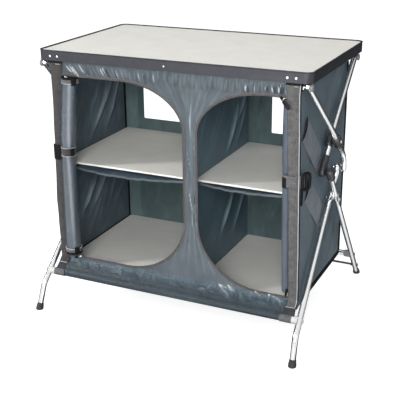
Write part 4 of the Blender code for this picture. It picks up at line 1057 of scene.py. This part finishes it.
def window_edge(centre_x, grow=0.0):
    """A window's edge as (x, z), rounded at its corners."""
    radius = WINDOW_RADIUS + grow
    half = WINDOW_WIDTH / 2 - WINDOW_RADIUS
    high = BACK_TOP - WINDOW_DROP - WINDOW_RADIUS
    low = BACK_TOP - WINDOW_DROP - WINDOW_HEIGHT + WINDOW_RADIUS
    points = []
    for x, z, turn in ((half, high, 0), (-half, high, 1), (-half, low, 2), (half, low, 3)):
        points += elliptic(centre_x + WINDOW_SHIFT + x, z, radius, radius, turn * pi / 2, 5)
    return points


def make_window_bindings():
    """The binding round each window, on the outside of the back."""
    for side, name in SIDES:
        hem = [(x, BACK_Y + THICKNESS, z) for x, z in window_edge(side * WINDOW_OFFSET, 0.004)]
        edge = resampled(hem + hem[:1], 0.005)[:-1]
        outward = np.cross(tangents(edge, True), (0, 1, 0))
        sewn(ribbon("window_binding_" + name, edge, outward, 0.009, THICKNESS, loop=True), DIVIDER_CLOTH)


def back_path():
    """The back's course in the side view: down, and forwards along the floor."""
    radius = 0.006
    corner = [(BACK_Y - radius + radius * cos(a), FLOOR_Z + radius + radius * sin(a))
              for a in np.linspace(0, -pi / 2, 6)]
    floor_front = (FRONT_Y + 2 * THICKNESS, FLOOR_Z)
    return SidePath(resampled([(BACK_Y, BACK_TOP)] + corner + [floor_front], 0.002))


def clear_of_windows(x, s):
    """How freely the back moves here: not at all at its windows."""
    free = np.ones_like(x)
    for side, _ in SIDES:
        beside = np.abs(x - side * WINDOW_OFFSET) - WINDOW_WIDTH / 2
        above = np.abs(s - WINDOW_DROP - WINDOW_HEIGHT / 2) - WINDOW_HEIGHT / 2
        free = np.minimum(free, np.clip(np.maximum(beside, above) / 0.03, 0, 1))
    return free


def make_back_cloth():
    """The back with its two windows, in one piece with the floor cloth."""
    upright = BACK_TOP - FLOOR_Z
    path = back_path()
    width = 2 * (HALF - 2 * THICKNESS)
    outer = [(-width / 2, 0), (width / 2, 0), (width / 2, path.length), (-width / 2, path.length)]
    holes = [[(x, BACK_TOP - z) for x, z in window_edge(side * WINDOW_OFFSET)] for side, _ in SIDES]
    flat, triangles = cut_pattern(outer, holes, 0.0065, 0.0065)
    x, s = flat[:, 0], flat[:, 1]
    y, z, ny, nz = path.at(s)
    lines = random_creases(71, 40, (-HALF + 0.03, 0.03), (HALF - 0.03, upright), (0, 16), (0.08, 0.24),
                           (0.004, 0.010), (0.0010, 0.0035))
    free = clear_of_windows(x, s)
    lift = creases(x, s, lines) * slack(z) * free * np.clip((upright - s) / 0.03, 0, 1)
    points = np.stack([x, y - ny * lift, z - nz * lift], axis=1)
    # A strip of the back beside the left wall is made darker: painted shade in that corner.
    corner_painted_shade = np.clip((-x - HALF + 0.052) / 0.006, 0, 1) * np.clip((upright - s) / 0.01, 0, 1)
    relief = -lift / 0.0050 - 0.55 * corner_painted_shade
    piece = thick_sheet("back_cloth", points, triangles, flat, relief=relief)
    sewn(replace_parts(piece, "back_panel"), CLOTH_INNER, CLOTH_INNER)
    make_window_bindings()


# Pockets


def make_pocket(name):
    """A slanting pocket on the right wall: sewn down on three sides, its upper end gaping."""
    node = "side_pocket_" + name
    middle = centre_of(node)
    down = np.array([cos(POCKET_SLANT), -sin(POCKET_SLANT)])
    across = np.array([sin(POCKET_SLANT) * 0.7, cos(POCKET_SLANT)])
    width = POCKET_WIDTH * float(np.linalg.norm(across))
    step = 0.0035
    flat, triangles = grid_pattern(POCKET_LENGTH, width, step, step)
    u, v = flat[:, 0] / POCKET_LENGTH, flat[:, 1] / width
    seam = np.clip(np.minimum(np.minimum(v, 1 - v) * width, (1 - u) * POCKET_LENGTH) / 0.012, 0, 1)
    mouth = np.exp(-u / 0.16)
    puff = 0.0008 + 0.0013 * seam + 0.0038 * mouth * np.sin(pi * v) ** 0.8
    lines = random_creases(len(node), 16, (0.02, 0), (POCKET_LENGTH, width), (60, 35), (0.03, 0.08),
                           (0.003, 0.006), (0.0004, 0.0012))
    puff = puff + creases(flat[:, 0], flat[:, 1], lines) * seam
    plane = np.outer((u - 0.5) * POCKET_LENGTH, down) + np.outer((v - 0.5) * POCKET_WIDTH, across)
    x = HALF + THICKNESS / 2 + 0.0006 + puff
    points = np.stack([x, middle.y + plane[:, 0], middle.z + plane[:, 1]], axis=1)
    piece = thick_sheet("pocket_cloth_" + name, points, triangles, flat, 0.0010)
    # Its inner side is black: painted shadow in the gaping mouth.
    sewn(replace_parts(piece, node), POCKET_CLOTH, BLACK)
    grid = points.reshape(round(width / step) + 1, round(POCKET_LENGTH / step) + 1, 3)
    # The black cord along the mouth is a painted shadow too.
    edges = {"hem": (grid[:, 0], BLACK), "seam": (grid[0], WELT), "end": (grid[:, -1], WELT)}
    for part, (path, material) in edges.items():
        sewn(cordlike("pocket_%s_%s" % (part, name), path, 0.0012), material)


# Rolled doors


def roll_axis(name, z):
    """The middle of a rolled door at this height: the left one leans in at its top."""
    middle = centre_of("door_roll_" + name)
    return middle.x + np.interp(z, *ROLL_LEANS[name]), middle.y


def spiral_path(radius, turns):
    """A roll seen from above: a spiral from its outside in."""
    angles = np.linspace(0, turns * tau, 400)
    radii = radius - radius * 0.72 * angles / angles[-1]
    return np.stack([radii * np.cos(angles), radii * np.sin(angles)], axis=1)


def roll_pleats(place, share):
    """Pleats of a roll, where its strap and its cuffs hold it tight."""
    tight = np.exp(-((share - 0.40) / 0.10) ** 2)
    for end in (share, 1 - share):
        tight += 0.7 * np.exp(-(end / 0.035) ** 2)
    return 0.0010 * np.sin(np.arctan2(place[:, 1], place[:, 0]) * 9 + 3 * share) * tight


def make_roll(name, turns):
    """A door rolled up in a spiral, drawn in where its strap holds it."""
    radius = ROLL_RADIUS[name]
    top, bottom = OPENING_TOP - 0.008, OPENING_BOTTOM + 0.010
    height = top - bottom
    spiral = spiral_path(radius, turns)
    length = float(distances(spiral)[-1])
    flat, triangles = grid_pattern(length, height, 0.004, 0.007)
    at = np.linspace(0, 1, len(spiral))
    place = np.stack([np.interp(flat[:, 0] / length, at, spiral[:, k]) for k in (0, 1)], axis=1)
    share = flat[:, 1] / height
    lines = random_creases(83, 30, (0, 0.02), (length, height - 0.02), (0, 5), (0.06, 0.22), (0.003, 0.006),
                           (0.0004, 0.0014))
    folds = creases(flat[:, 0], flat[:, 1], lines)
    rise = (folds + roll_pleats(place, share)) / radius
    size = 1 - 0.16 * np.exp(-((share - 0.40) / 0.05) ** 2) + rise
    z = top - flat[:, 1]
    centre_x, centre_y = roll_axis(name, z)
    start = radians(150)
    place = place @ np.array([[cos(start), sin(start)], [-sin(start), cos(start)]])
    points = np.stack([centre_x + place[:, 0] * size, centre_y + place[:, 1] * size, z], axis=1)
    piece = thick_sheet("rolled_door_" + name, points, triangles, flat, 0.0010, folds / 0.003)
    outer = ROLL_CLOTH if name == "left" else ROLL_DULL
    on_roll(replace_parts(piece, "door_roll_" + name), outer, CLOTH_INNER)


# Strips, bindings and straps


def circle(x, y, z, radius):
    """A ring of points round a line along X."""
    angles = np.linspace(0, tau, 24, endpoint=False)
    return [(x, y + radius * cos(a), z + radius * sin(a)) for a in angles]


def make_strip_top(name, low, high, y):
    """A black band over a corner strip's top end, a painted shadow under the table's edge, and the bright
    bar tack under it.
    """
    x = np.linspace(low - 0.001, high + 0.001, 8)
    cover = np.stack([x, np.full(8, y - 0.0014), np.full(8, CLOTH_TOP - 0.0030)], axis=1)
    # Black band: painted shadow in the gap under the table's edge.
    sewn(ribbon("corner_top_shadow_" + name, cover, (0, 0, 1), 0.0055, WEBBING), BLACK)
    cover[:, 2] -= 0.0058
    sewn(ribbon("corner_bar_" + name, cover[4:7], (0, 0, 1), 0.0016, 0.0014), PIPING)


def make_corner_strips():
    """Webbing down both front corners, wider at the top, with a bright piping on the right one."""
    heights = np.linspace(CLOTH_TOP - 0.004, KNEE_HEIGHT - 0.011, 96)
    left_inner = np.interp(heights, [0.15, 0.25, 0.34, 0.50, 0.564, 0.686, 0.766],
                           [-0.3560, -0.3600, -0.3630, -0.3620, -0.3560, -0.3440, -0.3380])
    right_inner = np.interp(heights, [0.15, 0.20, 0.364, 0.535, 0.672, 0.766],
                            [0.3700, 0.3690, 0.3650, 0.3590, 0.3540, 0.3480])
    flare = 0.007 * np.clip((heights - 0.745) / 0.025, 0, 1) ** 1.5
    wave = 0.0006 * np.sin(heights * tau / 0.11)
    y = FRONT_Y - THICKNESS / 2 - 0.0016 - wave - 1.15 * np.clip(KNEE_HEIGHT + 0.001 - heights, 0, 1)
    left_outer, right_outer = corner_x(-1, heights) - 0.0005 - flare, corner_x(1, heights) + 0.0008
    strips = (("left", -1, left_outer, left_inner, STRIP_LEFT, STRIP_LEFT),
              ("right", 1, right_outer, right_inner, STRIP_RIGHT, PIPING))
    for name, side, outer, inner, material, trim in strips:
        middle = np.stack([(outer + inner) / 2, y, heights], axis=1)
        sewn(ribbon("corner_strip_" + name, middle, (1, 0, 0), abs(outer - inner), WEBBING), material)
        for label, x, out, radius, finish in (("piping", outer + side * 0.0004, 0.0006, PIPING_RADIUS, trim),
                                              ("seam", inner, 0.0, 0.0009, STRIP_LEFT)):
            path = np.stack([x, y + out, heights], axis=1)
            sewn(cordlike("corner_%s_%s" % (label, name), path, radius), finish)
        make_strip_top(name, min(outer[0], inner[0]), max(outer[0], inner[0]), y[0])


def make_hem_corners():
    """Black gussets that close the hem at both corners, a bright edge over each, and the rail's wraps."""
    for side, name in SIDES:
        x = float(corner_x(side, KNEE_HEIGHT))
        high = (x - side * 0.016, FRONT_Y - 0.0005, KNEE_HEIGHT + 0.002)
        low = (x - side * 0.012, RAIL.y - 0.003, RAIL.z + TUBE_RADIUS + 0.0005)
        path = resampled([high, low], 0.004)
        path[:, 2] -= 0.0015 * np.sin(np.linspace(0, pi, len(path)))
        sewn(ribbon("hem_gusset_" + name, path, (1, 0, 0), 0.036, WEBBING), GUSSET)
        rim = [(x - side * t, FRONT_Y - 0.0165 - 0.001 * sin(60 * t), KNEE_HEIGHT - 0.0125)
               for t in np.linspace(-0.001, 0.026, 12)]
        sewn(cordlike("hem_rim_" + name, rim, 0.0012), PIPING)
        loop = circle(side * (HALF - 0.012), RAIL.y, RAIL.z, TUBE_RADIUS + CLOTH_CLEARANCE + THICKNESS)
        sewn(ribbon("rail_wrap_" + name, loop, (1, 0, 0), 0.036, 0.0014, loop=True), RAIL_WRAP)


def make_wall_bindings():
    """Black binding up the back edges, along the bottom edges and at the front corners of both walls."""
    thickness = BINDING_THICKNESS + THICKNESS
    back = BACK_Y - THICKNESS / 2
    heights = np.linspace(CLOTH_TOP - 0.004, KNEE_HEIGHT, 60)
    for side, name in SIDES:
        x = side * HALF
        path = resampled([(x, back, BACK_TOP), (x, back, FLOOR_Z + 0.006), (x, back - 0.006, FLOOR_Z),
                          (x, FRONT_Y + THICKNESS, FLOOR_Z)], 0.004)
        across = np.cross(tangents(path), (1, 0, 0))
        sewn(ribbon("wall_binding_" + name, path, across, BINDING_WIDTH, thickness), BLACK)
        corner = corner_x(side, heights) + side * 0.0012
        edge = np.stack([corner, np.full(60, FRONT_Y + 0.0065), heights], axis=1)
        sewn(ribbon("corner_binding_" + name, edge, (0, 1, 0), 0.009, 0.0014), BLACK)


def oblong(angle, power):
    """A point of a rounded oblong of reach 1: a circle at power 1, and squarer below that."""
    c, s = cos(angle), sin(angle)
    return np.sign(c) * abs(c) ** power, np.sign(s) * abs(s) ** power


def ring_path(centre, reach, z):
    """A level loop round a roll, or round a strip, where its reach differs in X and Y."""
    power = 1.0 if reach[0] == reach[1] else 0.8
    turns = [oblong(tau * i / 48, power) for i in range(48)]
    return np.array([(centre[0] + reach[0] * a, centre[1] + reach[1] * b, z) for a, b in turns])


def band_round(name, centre, reach, low, high, material, thickness=WEBBING):
    """A band of cloth round a roll or a strip, from one height to another."""
    ring = ring_path(centre, reach, (low + high) / 2)
    on_roll(ribbon(name, ring, (0, 0, 1), high - low, thickness, loop=True), material)


def rim_round(name, centre, reach, z, radius):
    """A bright rim round a roll."""
    on_roll(cordlike(name, ring_path(centre, (reach, reach), z), radius, loop=True), PIPING)


def roll_tab(name, centre, reach, z, low, high, width):
    """A black tab on a roll, between two angles in degrees."""
    angles = np.linspace(radians(low), radians(high), 7)
    path = [(centre[0] + reach * cos(a), centre[1] + reach * sin(a), z) for a in angles]
    on_roll(ribbon(name, path, (0, 0, 1), width, WEBBING), BLACK)


def make_cuffs(name):
    """Grey cuffs with bright rims round the ends of a rolled door, and a black band and a tab over each."""
    reach = ROLL_RADIUS[name] + 0.0012
    for end, z, way in (("top", OPENING_TOP - 0.0085, -1), ("bottom", OPENING_BOTTOM + 0.018, 1)):
        centre = roll_axis(name, z)
        label = "%s_%s" % (end, name)
        far, near = z + way * 0.011, z - way * 0.0045
        band_round("cuff_" + label, centre, (reach, reach), min(z, far), max(z, far), STRAP)
        band_round("cuff_band_" + label, centre, (reach * 0.98, reach * 0.98), near - 0.003, near + 0.003,
                   BLACK, 0.0020)
        rim_round("cuff_rim_" + label, centre, reach, far, 0.0012)
        roll_tab("cuff_loop_" + label, centre, reach + 0.0016, z + way * 0.006, -52, -18, 0.020)


def make_straps():
    """The straps that hold the rolled doors. The left one has two rims, a tab and a sleeve."""
    height = LEFT_STRAP_HEIGHT
    centre = roll_axis("left", height)
    reach = ROLL_RADIUS["left"] * 0.88
    band_round("roll_strap_left", centre, (reach, reach), height - 0.014, height + 0.010, STRIP_LEFT)
    rim_round("strap_rim_left_high", centre, reach + 0.0008, height + 0.0105, 0.0011)
    rim_round("strap_rim_left_low", centre, reach + 0.0008, height - 0.0145, 0.0011)
    roll_tab("roll_strap_tab_left", centre, reach + 0.0018, height - 0.002, -44, -12, 0.024)
    corner = 0.014 - float(corner_x(1, height))
    band_round("corner_sleeve_left", (corner, FRONT_Y), (0.0120, 0.0065), height - 0.032, height + 0.014,
               BLACK)
    band_round("roll_strap_right", (0.3665, FRONT_Y + 0.010), (0.0250, 0.0165), 0.486, 0.520, STRAP, 0.0018)
    band_round("roll_elastic_right", (0.3525, FRONT_Y + 0.007), (0.0110, 0.0125), 0.484, 0.514, BLACK,
               0.0024)


def box_rings(centre, side, up, half_side, half_up, half_out):
    """Rings of a small fitting with softened edges that stands proud of the front."""
    turns = [oblong(tau * k / 20, 0.55) for k in range(20)]
    rings = []
    for depth, size in ((-1, 0.94), (-0.6, 1.0), (0.4, 1.0), (1.0, 0.7)):
        rings.append([centre + side * (a * half_side * size) + up * (b * half_up * size)
                      + OUTWARD * depth * half_out for a, b in turns])
    return rings


def make_zip_end(name, x, z, lean, metal, size=1.0, proud=0.0):
    """A zip's slider, its puller and the ring between them, lying on the front."""
    up = np.array([sin(lean), 0.0, cos(lean)])
    side = np.cross(up, OUTWARD)
    body = front_point(x, z, TAPE_THICKNESS + 0.0022 + proud)
    slider = loft("zip_slider_" + name, box_rings(body, side, up, 0.0036, 0.0052, 0.0022))
    fitting(slider, metal)
    tail = body - up * 0.0125 * size + OUTWARD * 0.001
    pull = loft("zip_pull_" + name, box_rings(tail, side, up, 0.0034 * size, 0.0085 * size, 0.0012))
    fitting(pull, BLACK_PLASTIC)
    ring = [body - up * (0.0045 + 0.0022 * cos(a)) + side * 0.0028 * sin(a) + OUTWARD * 0.0026
            for a in np.linspace(0, tau, 14, endpoint=False)]
    fitting(cordlike("zip_ring_" + name, ring, 0.0006, 6, loop=True), metal)


def make_side_buckle():
    """The loop at the right corner that the strap of the right roll hooks into, with its webbing tail."""
    x = BUCKLE_X
    middle = np.array([x + 0.0060, FRONT_Y + 0.022, 0.502])
    turns = [oblong(tau * k / 28, 0.6) for k in range(28)]
    loop = [middle + np.array([0.0070 * a, 0.0110 * a, 0.0230 * b]) for a, b in turns]
    fitting(cordlike("strap_loop", loop, 0.0042, 8, loop=True), BLACK_PLASTIC)
    bar = [middle + np.array([0.0, 0.0, z]) for z in np.linspace(-0.0225, 0.0225, 8)]
    fitting(cordlike("strap_loop_bar", bar, 0.0040, 8), BLACK_PLASTIC)
    tail = [(x - 0.0015 - 0.001 * t, FRONT_Y + 0.012 + 0.002 * t, 0.486 - 0.052 * t)
            for t in np.linspace(0, 1, 12)]
    sewn(ribbon("strap_tail", tail, (0, 1, 0), 0.014, 0.0018), BLACK)


def make_tube_ends():
    """Grey caps on the ends of both cross tubes, and the front corners' cloth loops round the front one."""
    shape = ((-0.0060, 0.0092), (-0.0054, 0.0096), (0.0010, 0.0096), (0.0020, 0.0084), (0.0024, 0.0040))
    for side, name in SIDES:
        for body, node in (("upper_front", "front_top_tube"), ("upper_rear", "rear_top_tube")):
            place = centre_of(node)
            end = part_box(node)[1].x
            rings = [circle(side * (end + along), place.y, place.z, radius) for along, radius in shape]
            rigid(loft("tube_cap_%s_%s" % (body, name), rings), GREY_PLASTIC, body)
        loop = circle(side * 0.3882, FRONT_TUBE.y, FRONT_TUBE.z, TUBE_RADIUS + CLOTH_CLEARANCE)
        sleeve = ribbon("tube_sleeve_" + name, loop, (1, 0, 0), 0.0062, THICKNESS, loop=True)
        rigid(sleeve, BLACK)


def make_edge_bead():
    """The rolled lip along the top of the edge profile."""
    low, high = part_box("edge_frame")
    radius = 0.022
    path = []
    for x, y, turn in ((high.x, high.y, 0), (low.x, high.y, 1), (low.x, low.y, 2), (high.x, low.y, 3)):
        centre = (x - radius if x > 0 else x + radius, y - radius if y > 0 else y + radius)
        corner = elliptic(*centre, radius, radius, turn * pi / 2, 8)
        path += [(u, v, high.z + 0.0010) for u, v in corner]
    path = resampled(path + path[:1], 0.006)[:-1]
    inward = np.cross((0, 0, 1), tangents(path, True))
    profile = ((-0.0012, -0.0008), (-0.0012, 0.0005), (0.0, 0.0012), (0.0030, 0.0012), (0.0042, 0.0004),
               (0.0042, -0.0008))
    rings = [[point + side * a + np.array([0, 0, b]) for a, b in profile]
             for point, side in zip(path, inward)]
    rigid(loft("edge_bead", rings, loop=True), EDGE_BEAD)


# Under the shelves


def make_shelf_slings():
    """The cloth that each middle shelf lies on, with a hem that sags under the shelf's front edge."""
    step = 0.006
    for name, sag in (("left", 0.019), ("right", 0.010)):
        low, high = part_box("mid_shelf_" + name)
        width = high.x - low.x - 0.006
        depth = high.y - low.y - 0.004
        flat, triangles = grid_pattern(width, depth, step, 0.008)
        share = flat[:, 0] / width
        peak = np.sin(pi * np.clip(share, 0, 1) ** 0.85) ** 0.9
        front = np.clip(1 - flat[:, 1] / 0.07, 0, 1) ** 1.5
        ripple = 0.0009 * np.sin(share * 47 + 3.1 * np.sin(share * 7.3)) + 0.0007 * np.sin(share * 83)
        z = low.z - THICKNESS - 0.0006 + (ripple - sag) * front * peak
        points = np.stack([low.x + 0.003 + flat[:, 0], low.y - 0.001 + flat[:, 1], z], axis=1)
        piece = thick_sheet("shelf_sling_" + name, points, triangles, flat)
        # The darker sling copy of the cloth: painted shade under the shelf.
        coat(piece, SHADED_SLING_CLOTH, SHADED_SLING_CLOTH)
        carried(piece, "mid_shelves")
        hem_path = points[:round(width / step) + 1] - np.array([0, 0, 0.001])
        hem = ribbon("sling_hem_" + name, hem_path, (0, 0, 1), 0.007, 0.0018)
        rigid(hem, CLOTH, "mid_shelves")


# Light, floor and camera


def bright_beside(finish, foot):
    """The floor's level in reflections round a front foot: dark ahead of it."""
    away = finish.vector("SUBTRACT", finish.place, foot)
    ahead = finish.vector("DOT_PRODUCT", finish.vector("NORMALIZE", away), FLOOR_FRONT)
    beside = finish.span(ahead, 0.30, 0.75, 0.96, 0.0)
    close = finish.span(finish.vector("LENGTH", away), 0.26, 0.42, 1.0, 0.0)
    return finish.maths("SUBTRACT", 1.0, finish.maths("MULTIPLY", beside, close))


def floor_reflections(finish):
    """The floor's level in reflections by the ray's way, and the bright card that lies on it in front."""
    incoming = finish.node("NewGeometry").outputs["Incoming"]
    level = finish.span(finish.vector("DOT_PRODUCT", incoming, FLOOR_FRONT), 0.10, 0.34, 1.0, 0.04)
    for foot in FRONT_FEET:
        level = finish.maths("MULTIPLY", level, bright_beside(finish, foot))
    ahead = finish.vector("DOT_PRODUCT", finish.vector("NORMALIZE", finish.place), CARD_FRONT)
    beyond = finish.span(finish.vector("LENGTH", finish.place), 0.56, 0.70)
    card = finish.maths("MULTIPLY", finish.span(ahead, 0.945, 0.985, 0.0, CARD_LEVEL), beyond)
    return level, card


def make_floor():
    """A pale floor that keeps the shadow, plain to the camera and uneven in reflections."""
    size = 30.0
    points = [(x * size, y * size, -0.0005) for x, y in ((-1, -1), (1, -1), (1, 1), (-1, 1))]
    floor = new_piece("studio_floor", points, [(0, 1, 2, 3)])
    finish = Finish("studio_floor", 0.9, Specular_IOR_Level=0.0)
    level, card = floor_reflections(finish)
    rays = finish.node("LightPath").outputs
    glossy = rays["Is Glossy Ray"]
    base = finish.times(finish.mix(glossy, (1, 1, 1, 1), level), FLOOR_GREY)
    seen = finish.maths("MAXIMUM", rays["Is Camera Ray"], rays["Is Transmission Ray"])
    shown = finish.maths("ADD", finish.maths("MULTIPLY", level, FLOOR_GLOW), card)
    mirrored = finish.maths("MULTIPLY", glossy, shown)
    glow = finish.maths("MAXIMUM", finish.maths("MULTIPLY", seen, FLOOR_GLOW), mirrored)
    finish.set(Base_Color=base, Emission_Color=(1, 1, 1, 1), Emission_Strength=glow)
    coat(floor, finish.material)


def make_world():
    """White to the camera, a soft fill to the cloth, and dark behind the cupboard in its reflections."""
    world = bpy.data.worlds.new("studio")
    bpy.context.scene.world = world
    world.use_nodes = True
    sky = Nodes(world.node_tree)
    rays = sky.node("LightPath").outputs
    seen = sky.maths("MAXIMUM", rays["Is Camera Ray"], rays["Is Transmission Ray"])
    ahead = sky.vector("DOT_PRODUCT", sky.node("TexCoord").outputs["Generated"], MIRROR_FRONT)
    mirrored = sky.span(ahead, -0.10, 0.25, 0.05, WORLD_MIRRORED)
    fill = sky.mix(rays["Is Glossy Ray"], WORLD_FILL, mirrored, kind="FLOAT")
    background = sky.tree.nodes["Background"].inputs
    sky.put(background["Color"], (1, 1, 1, 1))
    sky.put(background["Strength"], sky.mix(seen, fill, 1.0, kind="FLOAT"))


def add_light(name, place, target, size, power):
    light = bpy.data.lights.new(name, "AREA")
    light.shape = "RECTANGLE"
    light.size, light.size_y = size
    light.energy = power
    obj = bpy.data.objects.new(name, light)
    obj.location = place
    obj.rotation_euler = (Vector(target) - Vector(place)).to_track_quat("-Z", "Y").to_euler()
    bpy.context.scene.collection.objects.link(obj)


def make_camera():
    """The photograph's camera, from its yaw, pitch, roll and focal length in pixels."""
    flat = cos(CAMERA_PITCH)
    way = Vector((sin(CAMERA_YAW) * flat, cos(CAMERA_YAW) * flat, -sin(CAMERA_PITCH)))
    right = way.cross(Vector((0, 0, 1))).normalized()
    up = right.cross(way)
    c, s = cos(CAMERA_ROLL), sin(CAMERA_ROLL)
    right, up = c * right + s * up, c * up - s * right
    camera = bpy.data.cameras.new("camera")
    camera.sensor_width = SENSOR
    camera.lens = FOCAL_PIXELS / FRAME_SIZE * SENSOR
    camera.shift_x = (FRAME_SIZE / 2 - CENTRE_U) / FRAME_SIZE
    obj = bpy.data.objects.new("camera", camera)
    turn = Matrix((right, up, -way)).transposed().to_4x4()
    obj.matrix_world = Matrix.Translation(CAMERA_PLACE) @ turn
    bpy.context.scene.collection.objects.link(obj)
    bpy.context.scene.camera = obj


def main():
    bpy.context.scene.view_settings.view_transform = "Standard"
    make_camera()
    make_world()
    make_floor()
    for light in LIGHTS:
        add_light(*light)
    dress_nodes()
    make_front_cloth()
    make_arch_trim("left")
    make_arch_trim("right")
    for side, name in SIDES:
        make_side_cloth(name, side)
    make_divider()
    make_back_cloth()
    make_pocket("upper")
    make_pocket("lower")
    make_roll("left", 4)
    make_roll("right", 3)
    make_corner_strips()
    make_hem_corners()
    make_wall_bindings()
    make_straps()
    make_cuffs("left")
    for zip_end in ZIP_ENDS:
        make_zip_end(*zip_end)
    make_side_buckle()
    make_tube_ends()
    make_edge_bead()
    make_shelf_slings()


main()
